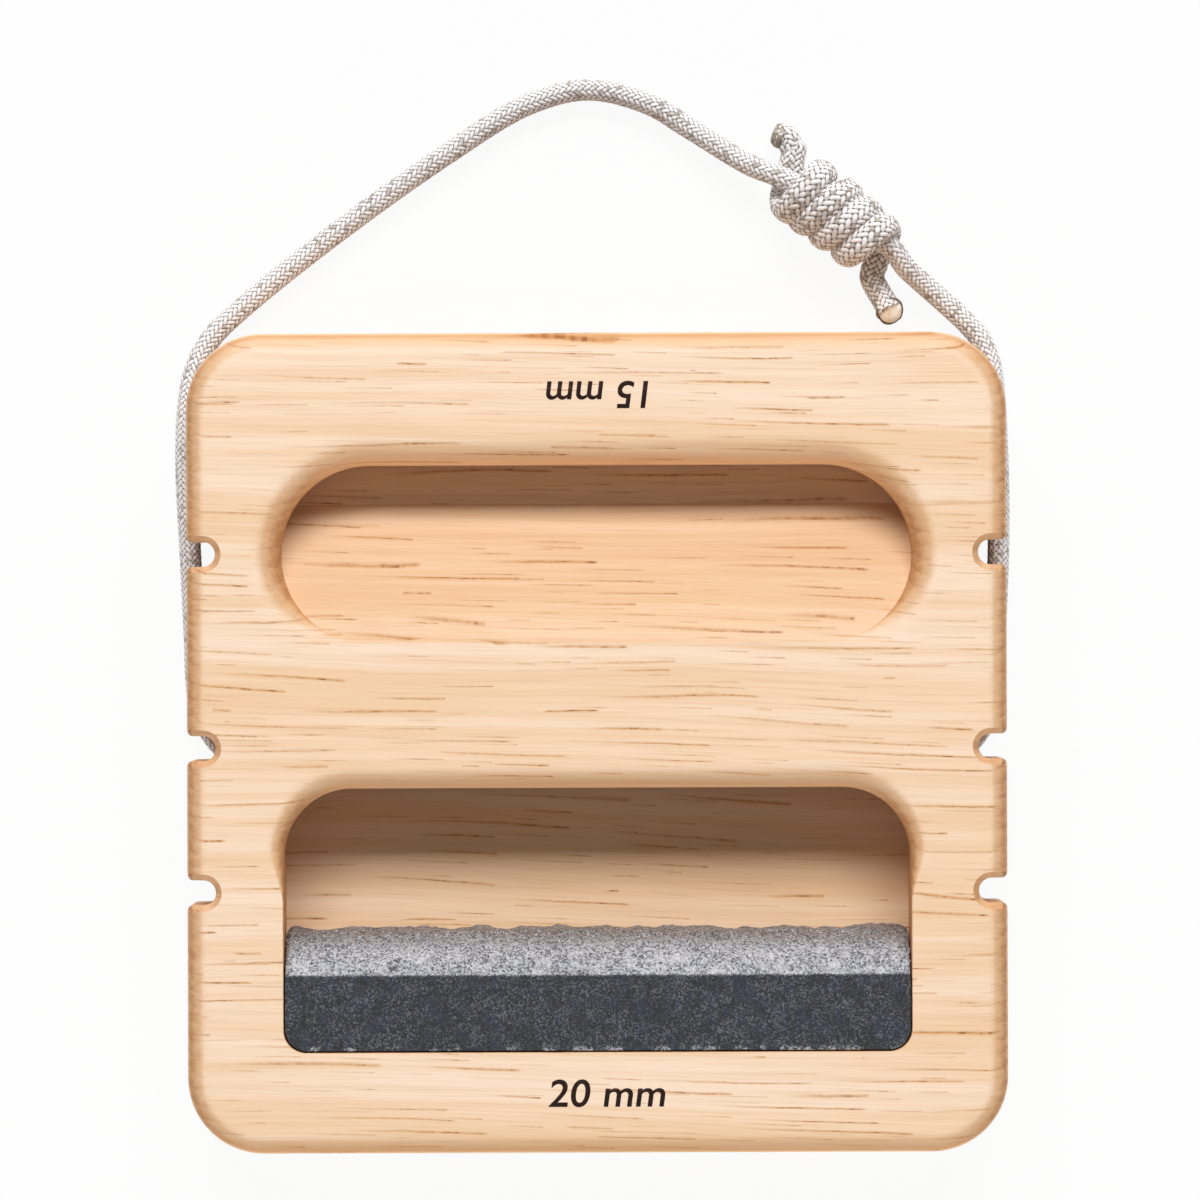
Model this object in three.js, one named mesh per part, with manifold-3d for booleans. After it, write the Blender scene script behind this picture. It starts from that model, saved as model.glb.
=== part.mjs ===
// Portable hangboard: a wooden grip board with two finger pockets, a glued stone edge in the
// lower pocket, three cord notches on each side, and a knotted cord loop to hang it by.
// Millimetres, +Z up. The board lies on its back: +Z is the way its face looks, +Y is its top edge,
// and the origin is the middle of its back, on the surface that it lies on.

import * as THREE from 'three';
import { mergeVertices } from 'three/addons/utils/BufferGeometryUtils.js';
import Module from 'manifold-3d';

const wasm = await Module();
wasm.setup();

// Board
const boardWidth = 180;
const boardHeight = 180;
const boardThickness = 36;
const boardCornerRadius = 16.7;
const frontRound = 5;
const backRound = 12;

// Upper pocket: a slot with round ends. Its floor is level below its top wall and then ramps up
// until it meets the face.
const upperPocketWidth = 138.6;
const upperPocketHeight = 39;
const upperPocketRampTopY = 52.5;
const upperPocketCentreY = 41.5;
const upperPocketDepth = 15;
const upperPocketRim = 7;

// Lower pocket: round above, nearly square below where the stone sits
const lowerPocketWidth = 137.6;
const lowerPocketTopY = -9.9;
const lowerPocketBottomY = -67.7;
const lowerPocketDepth = 20;
const lowerPocketTopRadius = 15;
const lowerPocketBottomRadius = 5;
const lowerPocketTopRim = 5.7;
const lowerPocketSideRim = 4.4;
const sideRimFadeStartY = -21;
const sideRimFadeEndY = -36.6;
const softestRim = 0.3;

// Stone edge and the adhesive under it
const stoneWidthOfFaceY = 16.9;
const stoneRoughRunY = 10.2;
const stoneGap = 0.45;
const stoneBackCornerRadius = 1.8;
const stoneRoughness = 0.55;
const stoneRoughWaveLength = 23;
const stoneStepsPerWave = 8;
const adhesiveThickness = 0.4;
const adhesiveInset = 1.5;
// How far back and how far down the rough side has gone at each of its edges
const roughSideShares = [[0.34, 0.1], [0.66, 0.32], [0.88, 0.62], [1, 1]];
// The waves along the rough side: how quick, how high and how late each one is
const roughWaveShares = [[1, 0.5, 1], [2.3, 0.25, 2], [4.1, 0.17, 1]];

// Cord notches in the two sides, with a bevel at the face
const notchCentresY = [41.6, -1, -32.6];
const notchWidth = 5.5;
const notchDepth = 6.4;
const notchBevel = 1.3;
const notchMouthRadius = 1.3;

// Cord relief across the back, with a flat resting band above and below it
const reliefLowY = -42;
const reliefHighY = 62;
const reliefDepth = 5.8;
const reliefCornerRadius = 3;

// Cord and knot
const cordDiameter = 4.9;
const layingGap = 0.05;
const matingGap = 0.3;
const knotCentre = [53.4, 117.4];
const knotSlope = 36;
const knotWrapRadius = 6.5;
const knotWrapPitch = 6.1;
const knotWrapCount = 4;
const knotCoreLength = 26.4;
const loopEndsAcross = [0.6, -1.2];
const squareEndLength = 1.5;
const tailBendAlong = 12.3;
const tailBendAcross = 0.5;
const upperTailAngle = 27;
const lowerTailAngle = 20;

// Working values for cuts and curves
const overrun = 3;
const cornerSteps = 9;
const rimSteps = 5;
const cordSides = 10;
const knotCoreSides = 12;
const cordSteps = 76;
const wrapSides = 6;
const wrapStepsPerLoop = 24;
const wrapStepsTrimmed = 2;
const tailSteps = 14;

const cordRadius = cordDiameter / 2;
const layingHeight = cordRadius + layingGap;
const knotAxisHeight = knotWrapRadius + layingHeight;
const knotCoreRadius = knotWrapRadius - cordRadius - matingGap;
const knotAlong = new THREE.Vector3(
  Math.cos(THREE.MathUtils.degToRad(knotSlope)),
  -Math.sin(THREE.MathUtils.degToRad(knotSlope)),
  0,
);
const knotAcross = new THREE.Vector3(-knotAlong.y, knotAlong.x, 0);

// The cord's route, from the knot down the right side, across the back, up the left side and over
// the arch to the knot again. Its first and last stretches climb to the knot's axis.
const cordRoute = [
  [68.6, 105.3, 7.2],
  [72.1, 102.1, 5],
  [75.7, 99, 3.5],
  [82.8, 92.5, 2.5],
  [85.8, 88.8, 2.5],
  [87.7, 84, 2.5],
  [88.7, 77, 2.5],
  [89.5, 60, 2.5],
  [89.5, 42, 2.5],
  [88.8, 25, 2.5],
  [88, 10, 2.5],
  [85.8, 3, 2.5],
  [81.8, -1.8, 2.5],
  [75.5, -5.7, 2.5],
  [66.5, -7.6, 2.5],
  [34, -8, 2.5],
  [-34, -8, 2.5],
  [-67.5, -7.6, 2.5],
  [-76.5, -5.7, 2.5],
  [-82.7, -1.8, 2.5],
  [-86.6, 3, 2.5],
  [-88.8, 10, 2.5],
  [-89.6, 25, 2.5],
  [-90.4, 42, 2.5],
  [-91.3, 62, 2.5],
  [-90.8, 74.5, 2.5],
  [-89.2, 83, 2.5],
  [-85.6, 89.8, 2.5],
  [-79.9, 95.5, 2.5],
  [-59.2, 112.1, 2.5],
  [-32.6, 131, 2.5],
  [-14.8, 141.7, 2.5],
  [-1.4, 144.9, 2.5],
  [11.9, 141.7, 2.6],
  [20.8, 136.4, 3],
  [34.3, 127.9, 6.6],
];

// The two tails lie on the surface, from under the knot to their cut ends
const upperTailRoute = [
  [43.8, 131.9, 2.5],
  [42.8, 133.9, 2.5],
  [40.5, 134.7, 2.5],
];
const lowerTailRoute = [
  [62.1, 101.4, 2.5],
  [63.8, 98.3, 2.5],
  [65.5, 95.3, 2.5],
];

const finishes = {
  wood: { color: 0xeccfa8, roughness: 0.62 },
  stone: { color: 0x5b6068, roughness: 0.85 },
  adhesive: { color: 0x2b2622, roughness: 0.5 },
  cord: { color: 0xc9c4c1, roughness: 0.8 },
};

// A closed body from rings that each hold as many points, lowest first and counter-clockwise from above
function bodyFromRings(rings) {
  const count = rings[0].length;
  const positions = rings.flat().flatMap((point) => [point.x, point.y, point.z]);
  const indices = [];
  for (let level = 0; level + 1 < rings.length; level += 1) {
    for (let i = 0; i < count; i += 1) {
      const next = (i + 1) % count;
      const low = level * count;
      const high = low + count;
      indices.push(low + i, low + next, high + next, low + i, high + next, high + i);
    }
  }
  const last = (rings.length - 1) * count;
  for (const [a, b, c] of capTriangles(rings[0])) indices.push(c, b, a);
  for (const [a, b, c] of capTriangles(rings.at(-1))) indices.push(last + a, last + b, last + c);
  const geometry = new THREE.BufferGeometry();
  geometry.setAttribute('position', new THREE.Float32BufferAttribute(positions, 3));
  geometry.setIndex(indices);
  return geometry;
}

// The triangles that close a ring, counter-clockwise from above
function capTriangles(ring) {
  return THREE.ShapeUtils.triangulateShape(ring.map((p) => new THREE.Vector2(p.x, p.y)), []);
}

// A rectangle with a round at each corner, as points with their outward directions
function roundedOutline(low, high, bottomRadius, topRadius) {
  const corners = [
    [high.x, low.y, -1, 1, bottomRadius, -90],
    [high.x, high.y, -1, -1, topRadius, 0],
    [low.x, high.y, 1, -1, topRadius, 90],
    [low.x, low.y, 1, 1, bottomRadius, 180],
  ];
  const outline = [];
  for (const [x, y, inwardX, inwardY, radius, startAngle] of corners) {
    for (let step = 0; step <= cornerSteps; step += 1) {
      const angle = THREE.MathUtils.degToRad(startAngle + (90 * step) / cornerSteps);
      const normal = new THREE.Vector2(Math.cos(angle), Math.sin(angle));
      const point = {
        x: x + inwardX * radius + normal.x * radius,
        y: y + inwardY * radius + normal.y * radius,
        normal,
      };
      const before = outline.at(-1);
      const doubled = before && Math.hypot(before.x - point.x, before.y - point.y) < layingGap;
      if (!doubled) outline.push(point);
    }
  }
  const first = outline[0];
  const end = outline.at(-1);
  if (Math.hypot(first.x - end.x, first.y - end.y) < layingGap) outline.pop();
  return outline;
}

function ringAt(outline, z, offset) {
  return outline.map((point) => new THREE.Vector3(
    point.x + point.normal.x * offset,
    point.y + point.normal.y * offset,
    z,
  ));
}

// A bar along X with the given outline in Y and Z
function barAlongX(outline, lowX, highX) {
  const shape = new THREE.Shape(outline.map(([y, z]) => new THREE.Vector2(y, z)));
  const geometry = new THREE.ExtrudeGeometry(shape, { depth: highX - lowX, bevelEnabled: false });
  const turn = new THREE.Matrix4().makeBasis(
    new THREE.Vector3(0, 1, 0),
    new THREE.Vector3(0, 0, 1),
    new THREE.Vector3(1, 0, 0),
  );
  return geometry.applyMatrix4(turn).translate(lowX, 0, 0);
}

// A body that booleans can cut, from a geometry whose faces point out
function solidFrom(geometry) {
  const bare = geometry.clone();
  bare.deleteAttribute('normal');
  bare.deleteAttribute('uv');
  const merged = mergeVertices(bare);
  return new wasm.Manifold(new wasm.Mesh({
    numProp: 3,
    vertProperties: new Float32Array(merged.attributes.position.array),
    triVerts: new Uint32Array(merged.index.array),
  }));
}

function geometryFrom(solid) {
  const mesh = solid.getMesh();
  const geometry = new THREE.BufferGeometry();
  geometry.setAttribute('position', new THREE.Float32BufferAttribute(mesh.vertProperties, 3));
  geometry.setIndex([...mesh.triVerts]);
  const separate = geometry.toNonIndexed();
  separate.computeVertexNormals();
  return separate;
}

// The plain slab: its long edges are rounded more at the back than at the front
function slab() {
  const high = new THREE.Vector2(boardWidth / 2, boardHeight / 2);
  const low = high.clone().negate();
  const outline = roundedOutline(low, high, boardCornerRadius, boardCornerRadius);
  const rings = [];
  for (let step = 0; step <= rimSteps + 1; step += 1) {
    const angle = (Math.PI / 2) * (step / (rimSteps + 1));
    rings.push(ringAt(outline, backRound * (1 - Math.cos(angle)), -backRound * (1 - Math.sin(angle))));
  }
  for (let step = 0; step <= rimSteps; step += 1) {
    const angle = (Math.PI / 2) * (step / rimSteps);
    const z = boardThickness - frontRound * (1 - Math.sin(angle));
    rings.push(ringAt(outline, z, -frontRound * (1 - Math.cos(angle))));
  }
  return solidFrom(bodyFromRings(rings));
}

// A cut that flares at the face, by a round whose size may change along the outline.
// surfaceAt gives the height of the face at a place, and rimAt how wide and how deep the round is.
// One step makes a flat bevel of it.
function flaredCut(outline, floorZ, surfaceAt, rimAt, steps = rimSteps) {
  const rims = outline.map((point) => rimAt(point));
  const rings = [ringAt(outline, floorZ, 0)];
  for (let step = 0; step <= steps; step += 1) {
    const angle = (Math.PI / 2) * (step / steps);
    rings.push(outline.map((point, i) => {
      const [wide, deep] = rims[i];
      const offset = wide * (1 - Math.cos(angle));
      const x = point.x + point.normal.x * offset;
      const y = point.y + point.normal.y * offset;
      return new THREE.Vector3(x, y, surfaceAt(x) - deep * (1 - Math.sin(angle)));
    }));
  }
  rings.push(rings.at(-1).map((point) => new THREE.Vector3(point.x, point.y, boardThickness + overrun)));
  return solidFrom(bodyFromRings(rings));
}

function flatFace() {
  return boardThickness;
}

// The height of the face near a side edge, where the front round bends it down
function faceNearSide(x) {
  const past = Math.min(Math.max(Math.abs(x) - (boardWidth / 2 - frontRound), 0), frontRound);
  return boardThickness - frontRound + Math.sqrt(frontRound ** 2 - past ** 2);
}

// How deep the floor of the upper pocket lies under the face at a height on the board
function upperFloorDepth(y) {
  const flushY = upperPocketCentreY - upperPocketHeight / 2;
  const climbed = (y - flushY) / (upperPocketRampTopY - flushY);
  return upperPocketDepth * Math.min(climbed, 1);
}

function upperPocketCut() {
  const half = new THREE.Vector2(upperPocketWidth / 2, upperPocketHeight / 2);
  const low = new THREE.Vector2(-half.x, upperPocketCentreY - half.y);
  const high = new THREE.Vector2(half.x, upperPocketCentreY + half.y);
  const outline = roundedOutline(low, high, half.y, half.y);
  const rimAt = (point) => {
    const deep = upperFloorDepth(point.y) - softestRim;
    return [upperPocketRim, THREE.MathUtils.clamp(deep, softestRim, upperPocketRim)];
  };
  const cut = flaredCut(outline, boardThickness - upperPocketDepth - overrun, flatFace, rimAt);
  const beyondTop = high.y + upperPocketRim + overrun;
  const beyondBottom = low.y - overrun;
  const aboveFloor = barAlongX(
    [
      [beyondBottom, boardThickness - upperFloorDepth(beyondBottom)],
      [upperPocketRampTopY, boardThickness - upperPocketDepth],
      [beyondTop, boardThickness - upperPocketDepth],
      [beyondTop, boardThickness + overrun + frontRound],
      [beyondBottom, boardThickness + overrun + frontRound],
    ],
    -boardWidth / 2,
    boardWidth / 2,
  );
  return cut.intersect(solidFrom(aboveFloor));
}

function lowerPocketOutline(inset) {
  return roundedOutline(
    new THREE.Vector2(-lowerPocketWidth / 2 + inset, lowerPocketBottomY + inset),
    new THREE.Vector2(lowerPocketWidth / 2 - inset, lowerPocketTopY - inset),
    lowerPocketBottomRadius,
    lowerPocketTopRadius,
  );
}

function lowerPocketCut() {
  const rimAt = (point) => {
    const climb = THREE.MathUtils.smoothstep(point.y, sideRimFadeEndY, sideRimFadeStartY);
    const top = THREE.MathUtils.smoothstep(point.y, sideRimFadeStartY, lowerPocketTopY);
    const size = climb * THREE.MathUtils.lerp(lowerPocketSideRim, lowerPocketTopRim, top);
    const rim = Math.max(size, softestRim);
    return [rim, rim];
  };
  return flaredCut(sideSteps(lowerPocketOutline(0)), boardThickness - lowerPocketDepth, flatFace, rimAt);
}

// Adds points along the outline's straight sides, so that a round there can change size
function sideSteps(outline) {
  const filled = [];
  outline.forEach((point, i) => {
    filled.push(point);
    const next = outline[(i + 1) % outline.length];
    const upright = Math.abs(next.x - point.x) < softestRim && Math.abs(next.y - point.y) > frontRound;
    if (!upright) return;
    for (let step = 1; step < cornerSteps; step += 1) {
      const y = THREE.MathUtils.lerp(point.y, next.y, step / cornerSteps);
      filled.push({ x: point.x, y, normal: point.normal });
    }
  });
  return filled;
}

// The outline of one notch on the right side: a round inner end, two walls and a flared mouth
function notchOutline(centreY) {
  const half = notchWidth / 2;
  const sideX = boardWidth / 2;
  const endCentreX = sideX - notchDepth + half;
  const outline = [];
  const mouthSteps = rimSteps - 1;
  const addPoint = (x, y, angle) => {
    outline.push({ x, y, normal: new THREE.Vector2(Math.cos(angle), Math.sin(angle)) });
  };
  addPoint(sideX + overrun, centreY + half + notchMouthRadius, Math.PI / 2);
  for (let step = 0; step <= mouthSteps; step += 1) {
    const angle = Math.PI - (Math.PI / 2) * (step / mouthSteps);
    const x = sideX - notchMouthRadius - notchMouthRadius * Math.cos(angle);
    const y = centreY + half + notchMouthRadius - notchMouthRadius * Math.sin(angle);
    addPoint(x, y, angle);
  }
  for (let step = 0; step <= cornerSteps; step += 1) {
    const angle = Math.PI / 2 + Math.PI * (step / cornerSteps);
    addPoint(endCentreX + half * Math.cos(angle), centreY + half * Math.sin(angle), angle);
  }
  for (let step = 0; step <= mouthSteps; step += 1) {
    const angle = -Math.PI / 2 - (Math.PI / 2) * (step / mouthSteps);
    const x = sideX - notchMouthRadius - notchMouthRadius * Math.cos(angle);
    const y = centreY - half - notchMouthRadius - notchMouthRadius * Math.sin(angle);
    addPoint(x, y, angle);
  }
  addPoint(sideX + overrun, centreY - half - notchMouthRadius, -Math.PI / 2);
  return outline;
}

// The same outline turned over to the left side, still counter-clockwise
function mirroredOutline(outline) {
  return outline
    .map(({ x, y, normal }) => ({ x: -x, y, normal: new THREE.Vector2(-normal.x, normal.y) }))
    .reverse();
}

function notchCuts() {
  return notchCentresY.flatMap((centreY) => {
    const right = notchOutline(centreY);
    return [right, mirroredOutline(right)].map(
      (outline) => flaredCut(outline, -overrun, faceNearSide, () => [notchBevel, notchBevel], 1),
    );
  });
}

function reliefCut() {
  const outline = [[reliefHighY, -overrun]];
  for (const [y, inward, startAngle] of [[reliefHighY, -1, 0], [reliefLowY, 1, 90]]) {
    for (let step = 0; step <= rimSteps; step += 1) {
      const angle = THREE.MathUtils.degToRad(startAngle + (90 * step) / rimSteps);
      outline.push([
        y + inward * reliefCornerRadius + reliefCornerRadius * Math.cos(angle),
        reliefDepth - reliefCornerRadius + reliefCornerRadius * Math.sin(angle),
      ]);
    }
  }
  outline.push([reliefLowY, -overrun]);
  const reach = boardWidth / 2 + overrun;
  return solidFrom(barAlongX(outline, -reach, reach));
}

function board() {
  const cuts = [upperPocketCut(), lowerPocketCut(), reliefCut(), ...notchCuts()];
  return geometryFrom(cuts.reduce((solid, cut) => solid.subtract(cut), slab()));
}

// How far a rounded corner draws in the stone's edge at a place along the bar
function cornerDraw(x, halfLength, radius) {
  const past = Math.max(Math.abs(x) - (halfLength - radius), 0);
  return radius - Math.sqrt(Math.max(radius ** 2 - past ** 2, 0));
}

// The rough side's departure from its plain profile, a sum of slow and quick waves
function roughness(x, edge) {
  const turns = (2 * Math.PI * x) / stoneRoughWaveLength;
  const waves = roughWaveShares.map(([quick, high, late]) => high * Math.sin(turns * quick + edge * late));
  return stoneRoughness * waves.reduce((sum, wave) => sum + wave, 0);
}

// One section of the stone bar, from its glued base round its face and down its rough side
function stoneSection(x, halfLength) {
  const baseZ = boardThickness - lowerPocketDepth + adhesiveThickness;
  const bottomY = lowerPocketBottomY + stoneGap;
  const lineY = lowerPocketBottomY + stoneWidthOfFaceY;
  const lowY = bottomY + cornerDraw(x, halfLength, lowerPocketBottomRadius - stoneGap);
  const backDraw = cornerDraw(x, halfLength, stoneBackCornerRadius);
  const fade = 1 - backDraw / stoneBackCornerRadius;
  const drop = boardThickness - baseZ;
  const section = [[lowY, baseZ], [lowY, boardThickness], [lineY - backDraw, boardThickness]];
  roughSideShares.forEach(([backShare, downShare], edge) => {
    const wobble = fade * roughness(x, edge);
    const isBase = downShare === 1;
    const y = lineY + stoneRoughRunY * backShare + wobble - backDraw;
    const z = boardThickness - drop * downShare + (isBase ? 0 : wobble / 2);
    section.push([y, z]);
  });
  return section.reverse();
}

function stoneEdge() {
  const halfLength = lowerPocketWidth / 2 - stoneGap;
  const arcLength = lowerPocketBottomRadius - stoneGap;
  const straight = halfLength - arcLength;
  const places = [];
  for (let step = 0; step < rimSteps; step += 1) {
    const angle = (Math.PI / 2) * (step / rimSteps);
    places.push(-straight - arcLength * Math.cos(angle));
  }
  const middleSteps = Math.round((2 * straight * stoneStepsPerWave) / stoneRoughWaveLength);
  for (let step = 0; step <= middleSteps; step += 1) {
    places.push(THREE.MathUtils.lerp(-straight, straight, step / middleSteps));
  }
  for (let step = rimSteps - 1; step >= 0; step -= 1) {
    places.push(-places[step]);
  }
  const sections = places.map((x) => stoneSection(x, halfLength).map(([y, z]) => [x, y, z]));
  return closedAlongX(sections);
}

// A closed body from sections along X, each counter-clockwise when seen against X
function closedAlongX(sections) {
  const count = sections[0].length;
  const positions = sections.flat(2);
  const indices = [];
  for (let level = 0; level + 1 < sections.length; level += 1) {
    for (let i = 0; i < count; i += 1) {
      const next = (i + 1) % count;
      const near = level * count;
      const far = near + count;
      indices.push(near + i, near + next, far + next, near + i, far + next, far + i);
    }
  }
  const last = (sections.length - 1) * count;
  const flat = (section) => section.map(([, y, z]) => new THREE.Vector2(y, z));
  const capOf = (section) => THREE.ShapeUtils.triangulateShape(flat(section), []);
  for (const [a, b, c] of capOf(sections[0])) indices.push(c, b, a);
  for (const [a, b, c] of capOf(sections.at(-1))) indices.push(last + a, last + b, last + c);
  const geometry = new THREE.BufferGeometry();
  geometry.setAttribute('position', new THREE.Float32BufferAttribute(positions, 3));
  geometry.setIndex(indices);
  return geometry;
}

function stoneAdhesive() {
  const floorZ = boardThickness - lowerPocketDepth;
  const inset = stoneGap + adhesiveInset;
  const low = new THREE.Vector2(-lowerPocketWidth / 2 + inset, lowerPocketBottomY + inset);
  const highY = lowerPocketBottomY + stoneWidthOfFaceY + stoneRoughRunY - inset;
  const high = new THREE.Vector2(lowerPocketWidth / 2 - inset, highY);
  const outline = roundedOutline(low, high, lowerPocketBottomRadius - inset, stoneBackCornerRadius);
  return bodyFromRings([ringAt(outline, floorZ, 0), ringAt(outline, floorZ + adhesiveThickness, 0)]);
}

// A closed tube of the cord's size along a list of points
function cordTube(points, sides, steps) {
  const path = new THREE.CatmullRomCurve3(points, false, 'centripetal');
  path.arcLengthDivisions = steps * wrapStepsPerLoop;
  const section = new THREE.Shape();
  for (let side = 0; side < sides; side += 1) {
    const angle = (2 * Math.PI * side) / sides;
    const x = cordRadius * Math.cos(angle);
    const y = cordRadius * Math.sin(angle);
    if (side === 0) section.moveTo(x, y);
    else section.lineTo(x, y);
  }
  section.closePath();
  return new THREE.ExtrudeGeometry(section, { steps, bevelEnabled: false, extrudePath: path });
}

// A point of the knot, by how far it lies along, across and above the knot's axis
function knotPoint(along, across, above) {
  return new THREE.Vector3(knotCentre[0], knotCentre[1], knotAxisHeight + above)
    .addScaledVector(knotAlong, along)
    .addScaledVector(knotAcross, across);
}

function routePoints(route) {
  return route.map(([x, y, z]) => new THREE.Vector3(x, y, z));
}

function cordLoop() {
  const meet = knotCoreLength / 2 + matingGap;
  const leave = meet + squareEndLength;
  const [lowerEndAcross, upperEndAcross] = loopEndsAcross;
  const points = [
    knotPoint(meet, lowerEndAcross, 0),
    knotPoint(leave, lowerEndAcross, 0),
    ...routePoints(cordRoute),
    knotPoint(-leave, upperEndAcross, 0),
    knotPoint(-meet, upperEndAcross, 0),
  ];
  return cordTube(points, cordSides, cordSteps);
}

// The knot's wraps: one unbroken tube wound round the two strands in the middle of the knot
function knotWraps() {
  const turns = knotWrapCount * wrapStepsPerLoop;
  const half = (knotWrapCount * knotWrapPitch) / 2;
  const points = [tailPoint(-1, cordDiameter), tailPoint(-1, 0)];
  for (let step = wrapStepsTrimmed; step <= turns - wrapStepsTrimmed; step += 1) {
    const angle = Math.PI + (2 * Math.PI * step) / wrapStepsPerLoop;
    const along = THREE.MathUtils.lerp(-half, half, step / turns);
    points.push(knotPoint(along, knotWrapRadius * Math.sin(angle), knotWrapRadius * Math.cos(angle)));
  }
  points.push(tailPoint(1, 0), tailPoint(1, cordDiameter));
  console.log(`knot wraps, least gap: ${leastGap(points).toFixed(2)} mm`);
  return cordTube(points, wrapSides, turns);
}

// A point of a tail's first straight stretch, under the knot, by how far out it lies; the sign
// picks the tail, -1 for the upper one
function tailPoint(sign, out) {
  const angle = THREE.MathUtils.degToRad(sign < 0 ? upperTailAngle : lowerTailAngle);
  const along = tailBendAlong + out * Math.sin(angle);
  const across = tailBendAcross - out * Math.cos(angle);
  return knotPoint(sign * along, sign * across, -knotWrapRadius);
}

// The least gap of a tube to itself, between stretches further apart along it than two diameters
function leastGap(points) {
  let travelled = 0;
  const places = points.map((point, i) => {
    travelled += i > 0 ? point.distanceTo(points[i - 1]) : 0;
    return travelled;
  });
  let least = Infinity;
  for (let i = 0; i < points.length; i += 1) {
    for (let j = i + 1; j < points.length; j += 1) {
      const apart = places[j] - places[i] > 2 * cordDiameter;
      if (apart) least = Math.min(least, points[i].distanceTo(points[j]) - cordDiameter);
    }
  }
  return least;
}

function knotCore() {
  const geometry = new THREE.CylinderGeometry(knotCoreRadius, knotCoreRadius, knotCoreLength, knotCoreSides);
  const toAxis = new THREE.Quaternion().setFromUnitVectors(new THREE.Vector3(0, 1, 0), knotAlong);
  return geometry.applyQuaternion(toAxis).translate(knotCentre[0], knotCentre[1], knotAxisHeight);
}

// A tail starts square to the end of the wraps, on the side given by its sign
function cordTail(route, sign) {
  const meet = cordDiameter + matingGap;
  const start = tailPoint(sign, meet);
  const leave = tailPoint(sign, meet + squareEndLength);
  return cordTube([start, leave, ...routePoints(route)], cordSides, tailSteps);
}

function piece(name, geometry, { color, roughness }) {
  const material = new THREE.MeshStandardMaterial({ color, roughness, metalness: 0 });
  const mesh = new THREE.Mesh(geometry, material);
  mesh.name = name;
  return mesh;
}

const hangboard = new THREE.Group();
hangboard.add(
  piece('board', board(), finishes.wood),
  piece('stone_edge', stoneEdge(), finishes.stone),
  piece('stone_adhesive', stoneAdhesive(), finishes.adhesive),
  piece('cord_loop', cordLoop(), finishes.cord),
  piece('knot_core', knotCore(), finishes.cord),
  piece('knot_wraps', knotWraps(), finishes.cord),
  piece('upper_tail', cordTail(upperTailRoute, -1), finishes.cord),
  piece('lower_tail', cordTail(lowerTailRoute, 1), finishes.cord),
);

export default hangboard;
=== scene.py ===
# Portable hangboard, dressed over its CAD frame: wooden board, stone edge, depth marks and braided cord.
# Metres, in the CAD's frame: +Z is the way the board's face looks, and +Y is its top edge.

import math

import bmesh
import bpy
import numpy as np
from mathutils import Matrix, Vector, noise


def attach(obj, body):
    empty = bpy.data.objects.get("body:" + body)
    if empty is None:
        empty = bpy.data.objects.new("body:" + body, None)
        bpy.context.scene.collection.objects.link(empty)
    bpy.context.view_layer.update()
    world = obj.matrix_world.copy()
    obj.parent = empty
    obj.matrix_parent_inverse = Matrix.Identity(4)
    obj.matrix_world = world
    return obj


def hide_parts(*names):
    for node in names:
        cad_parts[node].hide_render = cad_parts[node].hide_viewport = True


MILLIMETRE = 0.001


def millimetres(*sizes):
    return tuple(size * MILLIMETRE for size in sizes)


# Board, as in the CAD
BOARD_WIDTH = 180 * MILLIMETRE
BOARD_HEIGHT = 180 * MILLIMETRE
BOARD_THICKNESS = 36 * MILLIMETRE
BOARD_CORNER_RADIUS = 16.7 * MILLIMETRE
FRONT_ROUND = 5 * MILLIMETRE
BACK_ROUND = 12 * MILLIMETRE
UPPER_POCKET_WIDTH = 138.6 * MILLIMETRE
UPPER_POCKET_HEIGHT = 39 * MILLIMETRE
UPPER_POCKET_CENTRE_Y = 41.5 * MILLIMETRE
UPPER_POCKET_DEPTH = 15 * MILLIMETRE
UPPER_POCKET_RAMP_TOP_Y = 52.5 * MILLIMETRE
UPPER_POCKET_RIM = 7 * MILLIMETRE
LOWER_POCKET_WIDTH = 137.6 * MILLIMETRE
LOWER_POCKET_TOP_Y = -9.9 * MILLIMETRE
LOWER_POCKET_BOTTOM_Y = -67.7 * MILLIMETRE
LOWER_POCKET_DEPTH = 20 * MILLIMETRE
LOWER_POCKET_TOP_RADIUS = 15 * MILLIMETRE
LOWER_POCKET_BOTTOM_RADIUS = 5 * MILLIMETRE
LOWER_POCKET_TOP_RIM = 5.7 * MILLIMETRE
LOWER_POCKET_SIDE_RIM = 4.4 * MILLIMETRE
SIDE_RIM_FADE_START_Y = -21 * MILLIMETRE
SIDE_RIM_FADE_END_Y = -36.6 * MILLIMETRE
SHARPEST_RIM = 0.3 * MILLIMETRE
LEAST_STEP = SHARPEST_RIM / 3
NOTCH_CENTRES_Y = millimetres(41.6, -1, -32.6)
NOTCH_WIDTH = 5.5 * MILLIMETRE
NOTCH_DEPTH = 6.4 * MILLIMETRE
NOTCH_BEVEL = 1.3 * MILLIMETRE
NOTCH_MOUTH_RADIUS = 1.3 * MILLIMETRE
RELIEF_LOW_Y = -42 * MILLIMETRE
RELIEF_HIGH_Y = 62 * MILLIMETRE
RELIEF_DEPTH = 5.8 * MILLIMETRE
RELIEF_CORNER_RADIUS = 3 * MILLIMETRE
OVERRUN = 3 * MILLIMETRE
FLAT_FACE_AREA = 400 * MILLIMETRE ** 2
CORNER_STEPS = 20
RIM_STEPS = 10

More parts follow.
